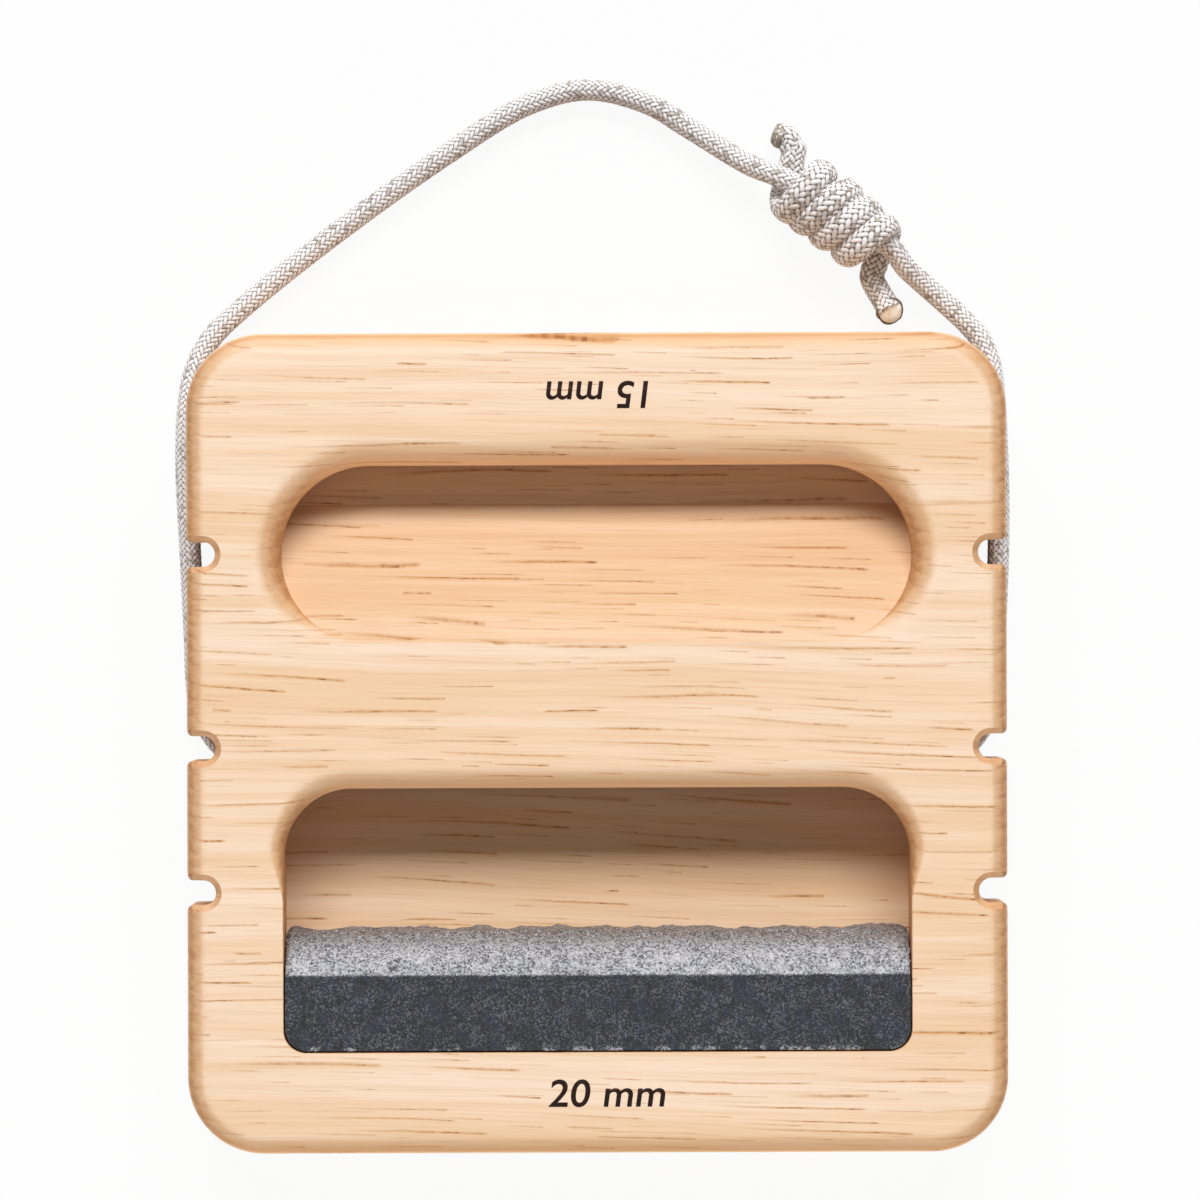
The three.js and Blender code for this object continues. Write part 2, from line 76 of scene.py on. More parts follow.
# Stone edge
STONE_WIDTH_OF_FACE_Y = 16.9 * MILLIMETRE
STONE_LINE_Y = LOWER_POCKET_BOTTOM_Y + STONE_WIDTH_OF_FACE_Y
STONE_ROUGH_RUN_Y = 10 * MILLIMETRE
STONE_GAP = 0.3 * MILLIMETRE
STONE_BACK_CORNER_RADIUS = 1.8 * MILLIMETRE
STONE_ROUGHNESS = 0.75 * MILLIMETRE
STONE_ROUGH_WAVE_LENGTH = 19 * MILLIMETRE
STONE_GRAIN_RELIEF = 0.32 * MILLIMETRE
STONE_GRAIN_SIZE = 1.7 * MILLIMETRE
STONE_GRAIN_MOST_PROUD = 0.2 * MILLIMETRE
STONE_STEP = 0.5 * MILLIMETRE
ADHESIVE_THICKNESS = 0.4 * MILLIMETRE
CHIPS_PER_SQUARE_METRE = 6e5
CHIPS_START = 0.3 * MILLIMETRE
CHIPS_STOP_SHORT = 0.8 * MILLIMETRE
SMALLEST_CHIP = 0.12 * MILLIMETRE
LARGEST_CHIP = 0.32 * MILLIMETRE
ROUGH_WAVE_SHARES = [(2, 1.5), (5.3, 0.75), (14, 0.4)]
ROUGH_SIDE_SHARES = [(0, 0), (0.34, 0.1), (0.66, 0.32), (0.88, 0.62), (1, 1)]

# Depth marks burned into the face
MARK_15_CENTRE = millimetres(0.3, 76.3)
MARK_15_SIZE = millimetres(22.4, 6)
MARK_20_CENTRE = millimetres(1.9, -76.7)
MARK_20_SIZE = millimetres(25.6, 6.1)
MARK_SHEAR_SHARE = 0.12
MARK_BOLDNESS_SHARE = 0.012
MARK_SPACING_SHARE = 1.02
MARK_DEPTH = 0.3 * MILLIMETRE
MARK_PROUD = 0.02 * MILLIMETRE

# Cord and knot
CORD_DIAMETER = 4.9 * MILLIMETRE
CORD_RADIUS = CORD_DIAMETER / 2
CORD_STEP = 0.4 * MILLIMETRE
CORD_SIDES = 48
CORD_RELIEF = 0.13 * MILLIMETRE
TAIL_RADIUS = CORD_RADIUS * 1.12
BRAID_STRANDS = 12
BRAID_FLOAT_SPACING = 1.4 * MILLIMETRE
KNOT_CENTRE = Vector((0.0534, 0.1174, 0.009))
KNOT_SLOPE = math.radians(36)
KNOT_RUN = Vector((math.cos(KNOT_SLOPE), -math.sin(KNOT_SLOPE), 0))
LOOP_ENDS_ACROSS = millimetres(0.6, -1.2)
LOOP_END_GAP = 0.8 * MILLIMETRE
LOOP_SQUARE_END = 15 * MILLIMETRE
KNOT_WRAP_RADIUS = 6.5 * MILLIMETRE
TAIL_BEND_ALONG = 12.3 * MILLIMETRE
TAIL_BEND_ACROSS = 0.5 * MILLIMETRE
UPPER_TAIL_ANGLE = math.radians(27)
LOWER_TAIL_ANGLE = math.radians(20)

# Melted ends: places along a tail past its end, and radii as shares of the tail's
MELTED_LUMP_SIZE = 1.3 * MILLIMETRE
SEAL_FOOT = -1.8 * MILLIMETRE
SEAL_FOOT_SHARE = 0.94
SEAL_START = -0.9 * MILLIMETRE
SEAL_HEIGHT = 2 * MILLIMETRE
SEAL_SHARE = 1.02
SEAL_BUMP = 0.25 * MILLIMETRE
CUT_END_LEAN = math.radians(54)
CUT_RIM_PLACES = millimetres(-2, -1.2, -0.2, 0.3)
CUT_RIM_SHARES = (0.94, 1.1, 1.16, 1.04)
CUT_RIM_BUMP = 0.3 * MILLIMETRE
CUT_FACE_HEIGHT = 1.1 * MILLIMETRE
CUT_FACE_SHARE = 0.98
CUT_FACE_BUMP = 0.12 * MILLIMETRE

# Places along the knot: where each wrap starts at its lower side and ends at its upper side, and where
# the wraps come in from one tail and go out to the other
WRAP_LOWER_ENDS = millimetres(-8.9, -4.6, 0.9, 7.2)
WRAP_UPPER_ENDS = millimetres(-7.3, -0.1, 5.8, 10.9)
UPPER_WRAPS_START = -11.4 * MILLIMETRE
LOWER_WRAPS_END = 12.6 * MILLIMETRE
WRAP_HALF_WIDTH_SHARE = 1.36
WRAP_HALF_HEIGHT_SHARE = 0.96

# The pulled knot is slimmer and lower towards its right end: places along it, radius shares and shifts
KNOT_TAPER_PLACES = millimetres(-10, 0, 6, 11)
KNOT_TAPER_SHARES = [0.95, 0.96, 0.9, 0.85]
KNOT_TAPER_SHIFTS = millimetres(-0.5, -0.6, -1, -1.3)
KNOT_PARTING = 2 * MILLIMETRE
WRAP_SINK_SHARES = (1, 0.7, 0.35)

# The cord's route round the board, from the knot's right end to its left end, as in the CAD
CORD_ROUTE = [
    (0.0686, 0.1053, 0.0072), (0.0721, 0.1021, 0.005), (0.0757, 0.099, 0.0035),
    (0.0828, 0.0925, 0.0025), (0.0858, 0.0888, 0.0025), (0.0877, 0.084, 0.0025),
    (0.0887, 0.077, 0.0025), (0.0895, 0.06, 0.0025), (0.0895, 0.042, 0.0025),
    (0.0888, 0.025, 0.0025), (0.088, 0.01, 0.0025), (0.0858, 0.003, 0.0025),
    (0.0818, -0.0018, 0.0025), (0.0755, -0.0057, 0.0025), (0.0665, -0.0076, 0.0025),
    (0.034, -0.008, 0.0025), (-0.034, -0.008, 0.0025), (-0.0675, -0.0076, 0.0025),
    (-0.0765, -0.0057, 0.0025), (-0.0827, -0.0018, 0.0025), (-0.0866, 0.003, 0.0025),
    (-0.0888, 0.01, 0.0025), (-0.0896, 0.025, 0.0025), (-0.0904, 0.042, 0.0025),
    (-0.0913, 0.062, 0.0025), (-0.0908, 0.0745, 0.0025), (-0.0892, 0.083, 0.0025),
    (-0.0856, 0.0898, 0.0025), (-0.0799, 0.0955, 0.0025), (-0.0592, 0.1121, 0.0025),
    (-0.0326, 0.131, 0.0025), (-0.0148, 0.1417, 0.0025), (-0.0014, 0.1449, 0.0025),
    (0.0119, 0.1417, 0.0026), (0.0208, 0.1364, 0.003), (0.0343, 0.1279, 0.0066),
]
UPPER_TAIL_ROUTE = [(0.0438, 0.1319, 0.0029), (0.0428, 0.1339, 0.0029), (0.0405, 0.1347, 0.0029)]
LOWER_TAIL_ROUTE = [(0.0621, 0.1014, 0.003), (0.0638, 0.0983, 0.004), (0.0655, 0.0953, 0.0055)]

# Colours as they look on a screen, in steps of 255
WOOD_PALE = (250, 224, 199)
WOOD_WARM = (241, 205, 168)
WOOD_FIBRE = (216, 168, 116)
WOOD_LINE = (204, 146, 88)
WOOD_LINE_CORE = (148, 90, 44)
WOOD_END_PALE = (238, 203, 165)
WOOD_END_DARK = (206, 156, 114)
# Tone where the wood turns from the face: partly the warmer tone of cut wood, partly painted shade
WOOD_TILT_TONE_AND_SHADE = (0.85, 0.75, 0.635)
# Painted shade on steep rims and walls
WOOD_STEEP_PAINTED_SHADE = (0.82, 0.7, 0.58)
# Painted shade on level wood deep in the pockets
WOOD_POCKET_PAINTED_SHADE = (1, 0.95, 0.88)
STONE_FACE = (31, 32, 35)
STONE_FACE_BLUE = (36, 41, 52)
STONE_FACE_SPECK = (114, 116, 121)
STONE_ROUGH_PALE = (196, 198, 206)
STONE_ROUGH_DARK = (90, 88, 91)
STONE_RIDGE = (134, 124, 116)
STONE_RIDGE_DARK = (64, 56, 50)
STONE_CHIP = (226, 225, 228)
BURN = (30, 12, 7)
CORD_PALE = (247, 243, 243)
# Painted shade between the sheath's strands
CORD_GAP_SHADE = (126, 118, 116)
# The knot's cord colours: a darker, slightly warmer copy of the loop's, painted shade of the tight wraps
CORD_PALE_KNOT = (247, 241, 240)
CORD_GAP_SHADE_KNOT = (86, 75, 66)
CORD_FLECK = (186, 176, 168)
MELTED = (255, 252, 244)
MELTED_SHADE = (242, 230, 208)
SCORCHED = (98, 84, 62)
SCORCHED_PALE = (160, 146, 122)
SEALED = (150, 136, 118)
SEALED_PALE = (206, 197, 186)
GLUE = (43, 38, 34)
WHITE = (255, 255, 255)

# The wood's pattern: sizes along the grain, across it and through the board
GRAIN_DRIFT_SIZE = millimetres(160, 30, 30)
GRAIN_DRIFT = 9 * MILLIMETRE
GRAIN_LEAN_SHARE = 0.02
WIDE_BAND_SIZE = millimetres(250, 11, 11)
NARROW_BAND_SIZE = millimetres(120, 2.2, 2.2)
FIBRE_SIZE = millimetres(20, 0.32, 0.32)
LINE_CROWD_SIZE = millimetres(60, 12, 12)
LINE_CROWD_OFFSET = (1, 8, 4)
STRONG_LINES = {
    "Row Gap": 3.1 * MILLIMETRE,
    "Cell": 46 * MILLIMETRE,
    "Half Width": 0.16 * MILLIMETRE,
    "Seed": 3,
}
FAINT_LINES = {
    "Row Gap": 1.4 * MILLIMETRE,
    "Cell": 19 * MILLIMETRE,
    "Half Width": 0.1 * MILLIMETRE,
    "Seed": 8,
}
ROW_WANDER_SIZE = millimetres(110, 13, 13)
ROW_JITTER_SIZE = millimetres(4, 3, 3)
ROW_DEPTH = 7 * MILLIMETRE
PORE_PIECE = 2.8 * MILLIMETRE
OUTER_SIDE_FADE = millimetres(1, 4)
BURN_PATCH_SIZE = millimetres(2, 0.9, 0.9)
WOOD_RELIEF = 0.05 * MILLIMETRE

# Growth rings on the board's ends, round the tree's heart
RING_HEART = millimetres(0, -450, -150)
RING_GAP = 3.2 * MILLIMETRE
RING_WANDER_SIZE = millimetres(50, 16, 16)
END_CLOUD_SIZE = millimetres(4, 0.9, 1.6)
END_PORE_SIZE = millimetres(10, 0.5, 0.5)

# The stone's pattern
FACE_GRAIN_SIZE = 0.4 * MILLIMETRE
ROUGH_GRAIN_SIZE = 0.52 * MILLIMETRE
SCRATCH_SIZE = millimetres(0.4, 4, 20)
EDGE_CHIPS_FADE = millimetres(1.6, 0.2)
LINE_RAGGEDNESS = 1.2 * MILLIMETRE
LINE_SOFTNESS = 0.2 * MILLIMETRE
RIDGE_RAGGEDNESS = 5 * MILLIMETRE
RIDGE_FADE = millimetres(6.5, 12.5)
STONE_RELIEF = 0.2 * MILLIMETRE
CHIP_RELIEF = 0.05 * MILLIMETRE

# The sheath's threads, as shares of a turn round the cord and of a float along it, and other relief
THREAD_SHARES = (0.05, 0.25, 1)
SHEATH_RELIEF = 0.35 * MILLIMETRE
MELTED_PATCH_SIZE = 1.2 * MILLIMETRE
GLUE_LUMP_SIZE = 2 * MILLIMETRE
LUMP_RELIEF = 0.2 * MILLIMETRE


def linear(colour):
    """A screen colour as the renderer's own numbers."""
    shares = [step / 255 for step in colour]
    return [s / 12.92 if s <= 0.04045 else ((s + 0.055) / 1.055) ** 2.4 for s in shares] + [1]


# Camera and light

CAMERA_PLACE = (0.00077, 0.0313, 2.036)
CAMERA_ROLL = math.radians(-0.2)
KEY_LAMP = {"distance": 4, "tilt": math.radians(47.5), "width": 3.8, "height": 1, "power": 183}
LOW_LAMP = {"distance": 3, "tilt": math.radians(-73), "width": 3, "height": 0.4, "power": 56}


def make_camera(lens=274, sensor=36, sight=10):
    camera = bpy.data.cameras.new("camera")
    camera.lens = lens
    camera.sensor_width = sensor
    camera.clip_end = sight
    stand = bpy.data.objects.new("camera", camera)
    stand.location = CAMERA_PLACE
    stand.rotation_euler = (0, 0, CAMERA_ROLL)
    bpy.context.collection.objects.link(stand)
    bpy.context.scene.camera = stand


def make_lamp(name, distance, tilt, width, height, power):
    """A soft wide lamp, tilted from the face's normal; a positive tilt is above the photograph's top."""
    lamp = bpy.data.lights.new(name, "AREA")
    lamp.shape = "RECTANGLE"
    lamp.energy = power
    lamp.size = width
    lamp.size_y = height
    stand = bpy.data.objects.new(name, lamp)
    stand.location = (0, distance * math.sin(tilt), distance * math.cos(tilt))
    stand.rotation_euler = (-tilt, 0, 0)
    bpy.context.collection.objects.link(stand)


def make_world(overhead=0.07, low=0.7, low_top=math.radians(25)):
    """A fill that is bright near the horizon and dim above; the camera and reflections see white."""
    world = bpy.data.worlds.new("studio")
    world.use_nodes = True
    bpy.context.scene.world = world
    tree = world.node_tree
    tree.nodes.clear()
    rise = separated(tree, node(tree, "ShaderNodeTexCoord").outputs["Generated"])[2]
    band = (0.8 * math.sin(low_top), 1.2 * math.sin(low_top))
    fill = node(tree, "ShaderNodeMapRange", {0: rise, 1: band[0], 2: band[1], 3: low, 4: overhead}).outputs[0]
    path = node(tree, "ShaderNodeLightPath").outputs
    seen = plus(tree, path["Is Camera Ray"], path["Is Glossy Ray"], path["Is Transmission Ray"])
    strength = node(tree, "ShaderNodeMapRange", {0: seen, 3: fill, 4: 1}).outputs[0]
    white = node(tree, "ShaderNodeBackground", {"Color": linear(WHITE), "Strength": strength})
    out = node(tree, "ShaderNodeOutputWorld")
    tree.links.new(white.outputs[0], out.inputs[0])


def make_floor(half_size=3, drop=0.2 * MILLIMETRE, shown_white=0.93, grey=0.86):
    """A white floor that still shows a faint shadow of the object."""
    material = new_material("floor")
    tree = material.node_tree
    path = node(tree, "ShaderNodeLightPath").outputs
    matt = node(tree, "ShaderNodeBsdfDiffuse", {"Color": [grey, grey, grey, 1]})
    glow = node(tree, "ShaderNodeEmission", {"Color": linear(WHITE), "Strength": 1})
    seen = times(tree, path["Is Camera Ray"], shown_white)
    mixed = node(tree, "ShaderNodeMixShader", {0: seen, 1: matt.outputs[0], 2: glow.outputs[0]})
    out = node(tree, "ShaderNodeOutputMaterial")
    tree.links.new(mixed.outputs[0], out.inputs[0])
    corners = [(x * half_size, y * half_size, -drop) for x, y in ((-1, -1), (1, -1), (1, 1), (-1, 1))]
    floor = mesh_object("floor", corners, [(0, 1, 2, 3)], material)


# Small helpers for meshes


def mesh_object(name, points, faces, material):
    mesh = bpy.data.meshes.new(name)
    mesh.from_pydata([tuple(p) for p in points], [], faces)
    mesh.materials.append(material)
    piece = bpy.data.objects.new(name, mesh)
    bpy.context.collection.objects.link(piece)
    return piece


def evaluated_copy(piece):
    graph = bpy.context.evaluated_depsgraph_get()
    return bpy.data.meshes.new_from_object(piece.evaluated_get(graph))


def finish_modifiers(piece):
    """Turns a piece with modifiers into a plain mesh."""
    mesh = evaluated_copy(piece)
    piece.modifiers.clear()
    piece.data = mesh


def combine(piece, tool, operation):
    """Cuts or trims one closed mesh by another, and removes the tool."""
    modifier = piece.modifiers.new("cut", "BOOLEAN")
    modifier.operation = operation
    modifier.solver = "EXACT"
    modifier.object = tool
    finish_modifiers(piece)
    bpy.data.objects.remove(tool)


def smooth_with_creases(piece, crease=math.radians(28)):
    """Smooth normals, but large flat faces stay flat and edges past the crease stay sharp."""
    mesh = piece.data
    mesh.shade_smooth()
    faces = mesh.polygons
    around = [[] for _ in mesh.vertices]
    for face in faces:
        for vertex in face.vertices:
            around[vertex].append(face.index)
    bend = math.cos(crease)
    directions = [face.normal.copy() for face in faces]
    weighted = [face.normal * face.area for face in faces]
    normals = []
    for face in faces:
        own = directions[face.index]
        for vertex in face.vertices:
            total = Vector((0, 0, 0))
            for other in around[vertex]:
                if directions[other].dot(own) > bend:
                    total += weighted[other]
            flat = face.area > FLAT_FACE_AREA
            normals.append(own if flat or total.length == 0 else total.normalized())
    mesh.normals_split_custom_set(normals)


def wall_faces(levels, count):
    """The faces between rings of as many points, numbered ring by ring."""
    faces = []
    for low in range(0, (levels - 1) * count, count):
        high = low + count
        for i in range(count):
            j = (i + 1) % count
            faces.append((low + i, low + j, high + j, high + i))
    return faces


def pole_faces(levels, count):
    """The faces that close a tube's two ends round two poles, which are numbered after its rings."""
    start_pole = levels * count
    end_pole = start_pole + 1
    last = start_pole - count
    faces = []
    for i in range(count):
        j = (i + 1) % count
        faces.append((start_pole, j, i))
        faces.append((end_pole, last + i, last + j))
    return faces


def ring_solid(name, rings, material):
    """A closed body from rings that each hold as many points, lowest first and counter-clockwise."""
    count = len(rings[0])
    points = [point for ring in rings for point in ring]
    last = len(points) - count
    floor = list(range(count - 1, -1, -1))
    top = [last + i for i in range(count)]
    return mesh_object(name, points, [floor, *wall_faces(len(rings), count), top], material)


def arc(start, turn, steps):
    """Directions at even steps along an arc, whose start and turn are in degrees."""
    angles = [math.radians(start + turn * step / steps) for step in range(steps + 1)]
    return [(math.cos(angle), math.sin(angle)) for angle in angles]


def rounded_outline(low, high, bottom_radius, top_radius):
    """A rectangle with a round at each corner, as points with their outward directions."""
    corners = [
        (high[0], low[1], -1, 1, bottom_radius, -90),
        (high[0], high[1], -1, -1, top_radius, 0),
        (low[0], high[1], 1, -1, top_radius, 90),
        (low[0], low[1], 1, 1, bottom_radius, 180),
    ]
    outline = []
    for x, y, inward_x, inward_y, radius, start in corners:
        for nx, ny in arc(start, 90, CORNER_STEPS):
            place = (x + inward_x * radius + nx * radius, y + inward_y * radius + ny * radius)
            if not outline or math.dist(outline[-1][:2], place) > LEAST_STEP:
                outline.append((*place, nx, ny))
    if math.dist(outline[0][:2], outline[-1][:2]) < LEAST_STEP:
        outline.pop()
    return outline


def ring_at(outline, height, offset):
    return [(x + nx * offset, y + ny * offset, height) for x, y, nx, ny in outline]


# Board


def slab(material):
    half = (BOARD_WIDTH / 2, BOARD_HEIGHT / 2)
    outline = rounded_outline((-half[0], -half[1]), half, BOARD_CORNER_RADIUS, BOARD_CORNER_RADIUS)
    rings = []
    for out, rise in arc(0, 90, RIM_STEPS):
        rings.append(ring_at(outline, BACK_ROUND * (1 - out), -BACK_ROUND * (1 - rise)))
    for out, rise in arc(0, 90, RIM_STEPS):
        rings.append(ring_at(outline, BOARD_THICKNESS - FRONT_ROUND * (1 - rise), -FRONT_ROUND * (1 - out)))
    return ring_solid("wooden_board", rings, material)


def flared_cut(outline, floor_height, surface_at, rim_at, material, steps=RIM_STEPS):
    """A cutter that flares at the face by a round, whose width and depth may change along the outline."""
    rims = [rim_at(x, y) for x, y, _, _ in outline]
    rings = [ring_at(outline, floor_height, 0)]
    for out, rise in arc(0, 90, steps):
        ring = []
        for (x, y, nx, ny), (wide, deep) in zip(outline, rims):
            offset = wide * (1 - out)
            place = (x + nx * offset, y + ny * offset)
            ring.append((*place, surface_at(place[0]) - deep * (1 - rise)))
        rings.append(ring)
    rings.append([(x, y, BOARD_THICKNESS + OVERRUN) for x, y, _ in rings[-1]])
    return ring_solid("cutter", rings, material)


def flat_face(_):
    return BOARD_THICKNESS


def face_near_side(x):
    """The height of the face near a side edge, where the front round bends it down."""
    past = min(max(abs(x) - (BOARD_WIDTH / 2 - FRONT_ROUND), 0), FRONT_ROUND)
    return BOARD_THICKNESS - FRONT_ROUND + math.sqrt(FRONT_ROUND ** 2 - past ** 2)


def bar_along_x(outline, reach, material):
    """A bar through the whole board with the given outline in Y and Z, counter-clockwise."""
    count = len(outline)
    points = [(x, y, z) for x in (-reach, reach) for y, z in outline]
    faces = [list(range(count - 1, -1, -1)), [count + i for i in range(count)]]
    for i in range(count):
        j = (i + 1) % count
        faces.append((i, j, count + j, count + i))
    return mesh_object("bar", points, faces, material)


def upper_floor_depth(y):
    """How deep the upper pocket's floor lies: a ramp up from flush, then level."""
    flush = UPPER_POCKET_CENTRE_Y - UPPER_POCKET_HEIGHT / 2
    return UPPER_POCKET_DEPTH * min((y - flush) / (UPPER_POCKET_RAMP_TOP_Y - flush), 1)


def upper_pocket_cut(material):
    half = (UPPER_POCKET_WIDTH / 2, UPPER_POCKET_HEIGHT / 2)
    low = (-half[0], UPPER_POCKET_CENTRE_Y - half[1])
    high = (half[0], UPPER_POCKET_CENTRE_Y + half[1])
    outline = rounded_outline(low, high, half[1], half[1])

    def rim_at(_, y):
        deep = min(max(upper_floor_depth(y) - SHARPEST_RIM, SHARPEST_RIM), UPPER_POCKET_RIM)
        return UPPER_POCKET_RIM, deep

    cut = flared_cut(outline, BOARD_THICKNESS - UPPER_POCKET_DEPTH - OVERRUN, flat_face, rim_at, material)
    beyond_top = high[1] + UPPER_POCKET_RIM + OVERRUN
    beyond_bottom = low[1] - UPPER_POCKET_RIM - OVERRUN
    above = BOARD_THICKNESS + OVERRUN + FRONT_ROUND
    floor = BOARD_THICKNESS - UPPER_POCKET_DEPTH
    over_floor = [
        (beyond_bottom, BOARD_THICKNESS - upper_floor_depth(beyond_bottom)),
        (UPPER_POCKET_RAMP_TOP_Y, floor),
        (beyond_top, floor),
        (beyond_top, above),
        (beyond_bottom, above),
    ]
    combine(cut, bar_along_x(over_floor, BOARD_WIDTH / 2, material), "INTERSECT")
    return cut


def eased(value, low, high):
    share = min(max((value - low) / (high - low), 0), 1)
    return share * share * (3 - 2 * share)


def side_steps(outline):
    """Adds points along the outline's straight sides, so that a round there can change size."""
    filled = []
    for i, (x, y, nx, ny) in enumerate(outline):
        filled.append((x, y, nx, ny))
        after = outline[(i + 1) % len(outline)]
        upright = abs(after[0] - x) < SHARPEST_RIM and abs(after[1] - y) > FRONT_ROUND
        for step in range(1, CORNER_STEPS if upright else 0):
            filled.append((x, y + (after[1] - y) * step / CORNER_STEPS, nx, ny))
    return filled


def lower_pocket_cut(material):
    def rim_at(_, y):
        climb = eased(y, SIDE_RIM_FADE_END_Y, SIDE_RIM_FADE_START_Y)
        top = eased(y, SIDE_RIM_FADE_START_Y, LOWER_POCKET_TOP_Y)
        rim = climb * (LOWER_POCKET_SIDE_RIM + (LOWER_POCKET_TOP_RIM - LOWER_POCKET_SIDE_RIM) * top)
        rim = max(rim, SHARPEST_RIM)
        return rim, rim

    outline = rounded_outline(
        (-LOWER_POCKET_WIDTH / 2, LOWER_POCKET_BOTTOM_Y),
        (LOWER_POCKET_WIDTH / 2, LOWER_POCKET_TOP_Y),
        LOWER_POCKET_BOTTOM_RADIUS,
        LOWER_POCKET_TOP_RADIUS,
    )
    floor_height = BOARD_THICKNESS - LOWER_POCKET_DEPTH
    return flared_cut(side_steps(outline), floor_height, flat_face, rim_at, material)


def notch_outline(centre_y, side):
    """The outline of one notch: a round inner end, two walls and a flared mouth."""
    half = NOTCH_WIDTH / 2
    edge = BOARD_WIDTH / 2
    end_x = edge - NOTCH_DEPTH + half
    mouth_x = edge - NOTCH_MOUTH_RADIUS
    mouth_y = half + NOTCH_MOUTH_RADIUS
    mouth = NOTCH_MOUTH_RADIUS
    outline = [(edge + OVERRUN, centre_y + mouth_y, 0, 1)]
    for nx, ny in arc(180, -90, RIM_STEPS):
        outline.append((mouth_x - mouth * nx, centre_y + mouth_y - mouth * ny, nx, ny))
    for nx, ny in arc(90, 180, CORNER_STEPS):
        outline.append((end_x + half * nx, centre_y + half * ny, nx, ny))
    for nx, ny in arc(-90, -90, RIM_STEPS):
        outline.append((mouth_x - mouth * nx, centre_y - mouth_y - mouth * ny, nx, ny))
    outline.append((edge + OVERRUN, centre_y - mouth_y, 0, -1))
    if side < 0:
        outline = [(-x, y, -nx, ny) for x, y, nx, ny in reversed(outline)]
    return outline


def notch_rim(*_):
    return NOTCH_BEVEL, NOTCH_BEVEL


def relief_cut(material):
    outline = [(RELIEF_HIGH_Y, -OVERRUN)]
    radius = RELIEF_CORNER_RADIUS
    for y, inward, start in [(RELIEF_HIGH_Y, -1, 0), (RELIEF_LOW_Y, 1, 90)]:
        for out, rise in arc(start, 90, RIM_STEPS):
            outline.append((y + inward * radius + radius * out, RELIEF_DEPTH - radius + radius * rise))
    outline.append((RELIEF_LOW_Y, -OVERRUN))
    return bar_along_x(outline, BOARD_WIDTH / 2 + OVERRUN, material)


def make_board(material):
    board = slab(material)
    combine(board, upper_pocket_cut(material), "DIFFERENCE")
    combine(board, lower_pocket_cut(material), "DIFFERENCE")
    combine(board, relief_cut(material), "DIFFERENCE")
    for centre_y in NOTCH_CENTRES_Y:
        for side in (1, -1):
            outline = notch_outline(centre_y, side)
            notch = flared_cut(outline, -OVERRUN, face_near_side, notch_rim, material, steps=1)
            combine(board, notch, "DIFFERENCE")
    smooth_with_creases(board)
    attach(board, "root")
    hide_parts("board")


# Stone edge


def corner_draw(x, half_length, radius):
    """How far a rounded corner draws in the stone's edge at a place along the bar."""
    past = min(max(abs(x) - (half_length - radius), 0), radius)
    return radius - math.sqrt(radius ** 2 - past ** 2)


def slow_waves(x, edge):
    """An uneven wave along the bar, a little different at each edge of the rough side."""
    waves = 0
    for finer, share in ROUGH_WAVE_SHARES:
        waves += share * noise.noise(Vector((x * finer / STONE_ROUGH_WAVE_LENGTH, edge * 0.6, finer)))
    return STONE_ROUGHNESS * waves


def stone_grain(x, y, z):
    """The broken side's fine relief at a place."""
    spot = Vector((x, y, z)) / STONE_GRAIN_SIZE
    return STONE_GRAIN_RELIEF * (noise.fractal(spot, 0.8, 2.1, 4) + 0.4 * noise.noise(spot / 3))


def rough_side_point(x, share, back_draw, fade):
    """A point of the rough side, from the face's edge, share 0, to the glued base, share 1."""
    edges = len(ROUGH_SIDE_SHARES) - 1
    edge = min(int(share * edges), edges - 1)
    within = share * edges - edge
    (back_a, down_a), (back_b, down_b) = ROUGH_SIDE_SHARES[edge], ROUGH_SIDE_SHARES[edge + 1]
    back = back_a + (back_b - back_a) * within
    down = down_a + (down_b - down_a) * within
    wave_a = slow_waves(x, edge - 1) if edge else 0
    wave = (wave_a + (slow_waves(x, edge) - wave_a) * within) * fade
    drop = LOWER_POCKET_DEPTH - ADHESIVE_THICKNESS
    y = STONE_LINE_Y + STONE_ROUGH_RUN_Y * back + wave - back_draw
    z = BOARD_THICKNESS - drop * down + wave / 2 * (1 - down)
    held = eased(share, 0, 0.05) * (1 - eased(share, 0.9, 1))
    grain = stone_grain(x, y, z) * held * (0.4 + 0.6 * fade)
    return y + grain * 0.6, z + min(grain, STONE_GRAIN_MOST_PROUD)


def stone_section(x, half_length, rough_steps):
    base = BOARD_THICKNESS - LOWER_POCKET_DEPTH + ADHESIVE_THICKNESS
    low_y = LOWER_POCKET_BOTTOM_Y + STONE_GAP
    low_y += corner_draw(x, half_length, LOWER_POCKET_BOTTOM_RADIUS - STONE_GAP)
    back_draw = corner_draw(x, half_length, STONE_BACK_CORNER_RADIUS)
    fade = 1 - back_draw / STONE_BACK_CORNER_RADIUS
    section = [(low_y, base), (low_y, BOARD_THICKNESS - SHARPEST_RIM)]
    section.append((low_y + SHARPEST_RIM, BOARD_THICKNESS))
    for step in range(rough_steps + 1):
        section.append(rough_side_point(x, step / rough_steps, back_draw, fade))
    return section[::-1]


def make_stone(material, rough_steps=56):
    half_length = LOWER_POCKET_WIDTH / 2 - STONE_GAP
    corner = LOWER_POCKET_BOTTOM_RADIUS - STONE_GAP
    straight = half_length - corner
    places = [-half_length + corner * (1 - out) for out, _ in arc(0, 90, CORNER_STEPS)[:-1]]
    steps = round(2 * straight / STONE_STEP)
    places += [-straight + 2 * straight * i / steps for i in range(steps + 1)]
    places += [-place for place in reversed(places[:CORNER_STEPS])]
    sections = [[(x, y, z) for y, z in stone_section(x, half_length, rough_steps)] for x in places]
    stone = ring_solid("stone_bar", sections, material)
    smooth_with_creases(stone)
    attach(stone, "root")
    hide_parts("stone_edge")
    return stone


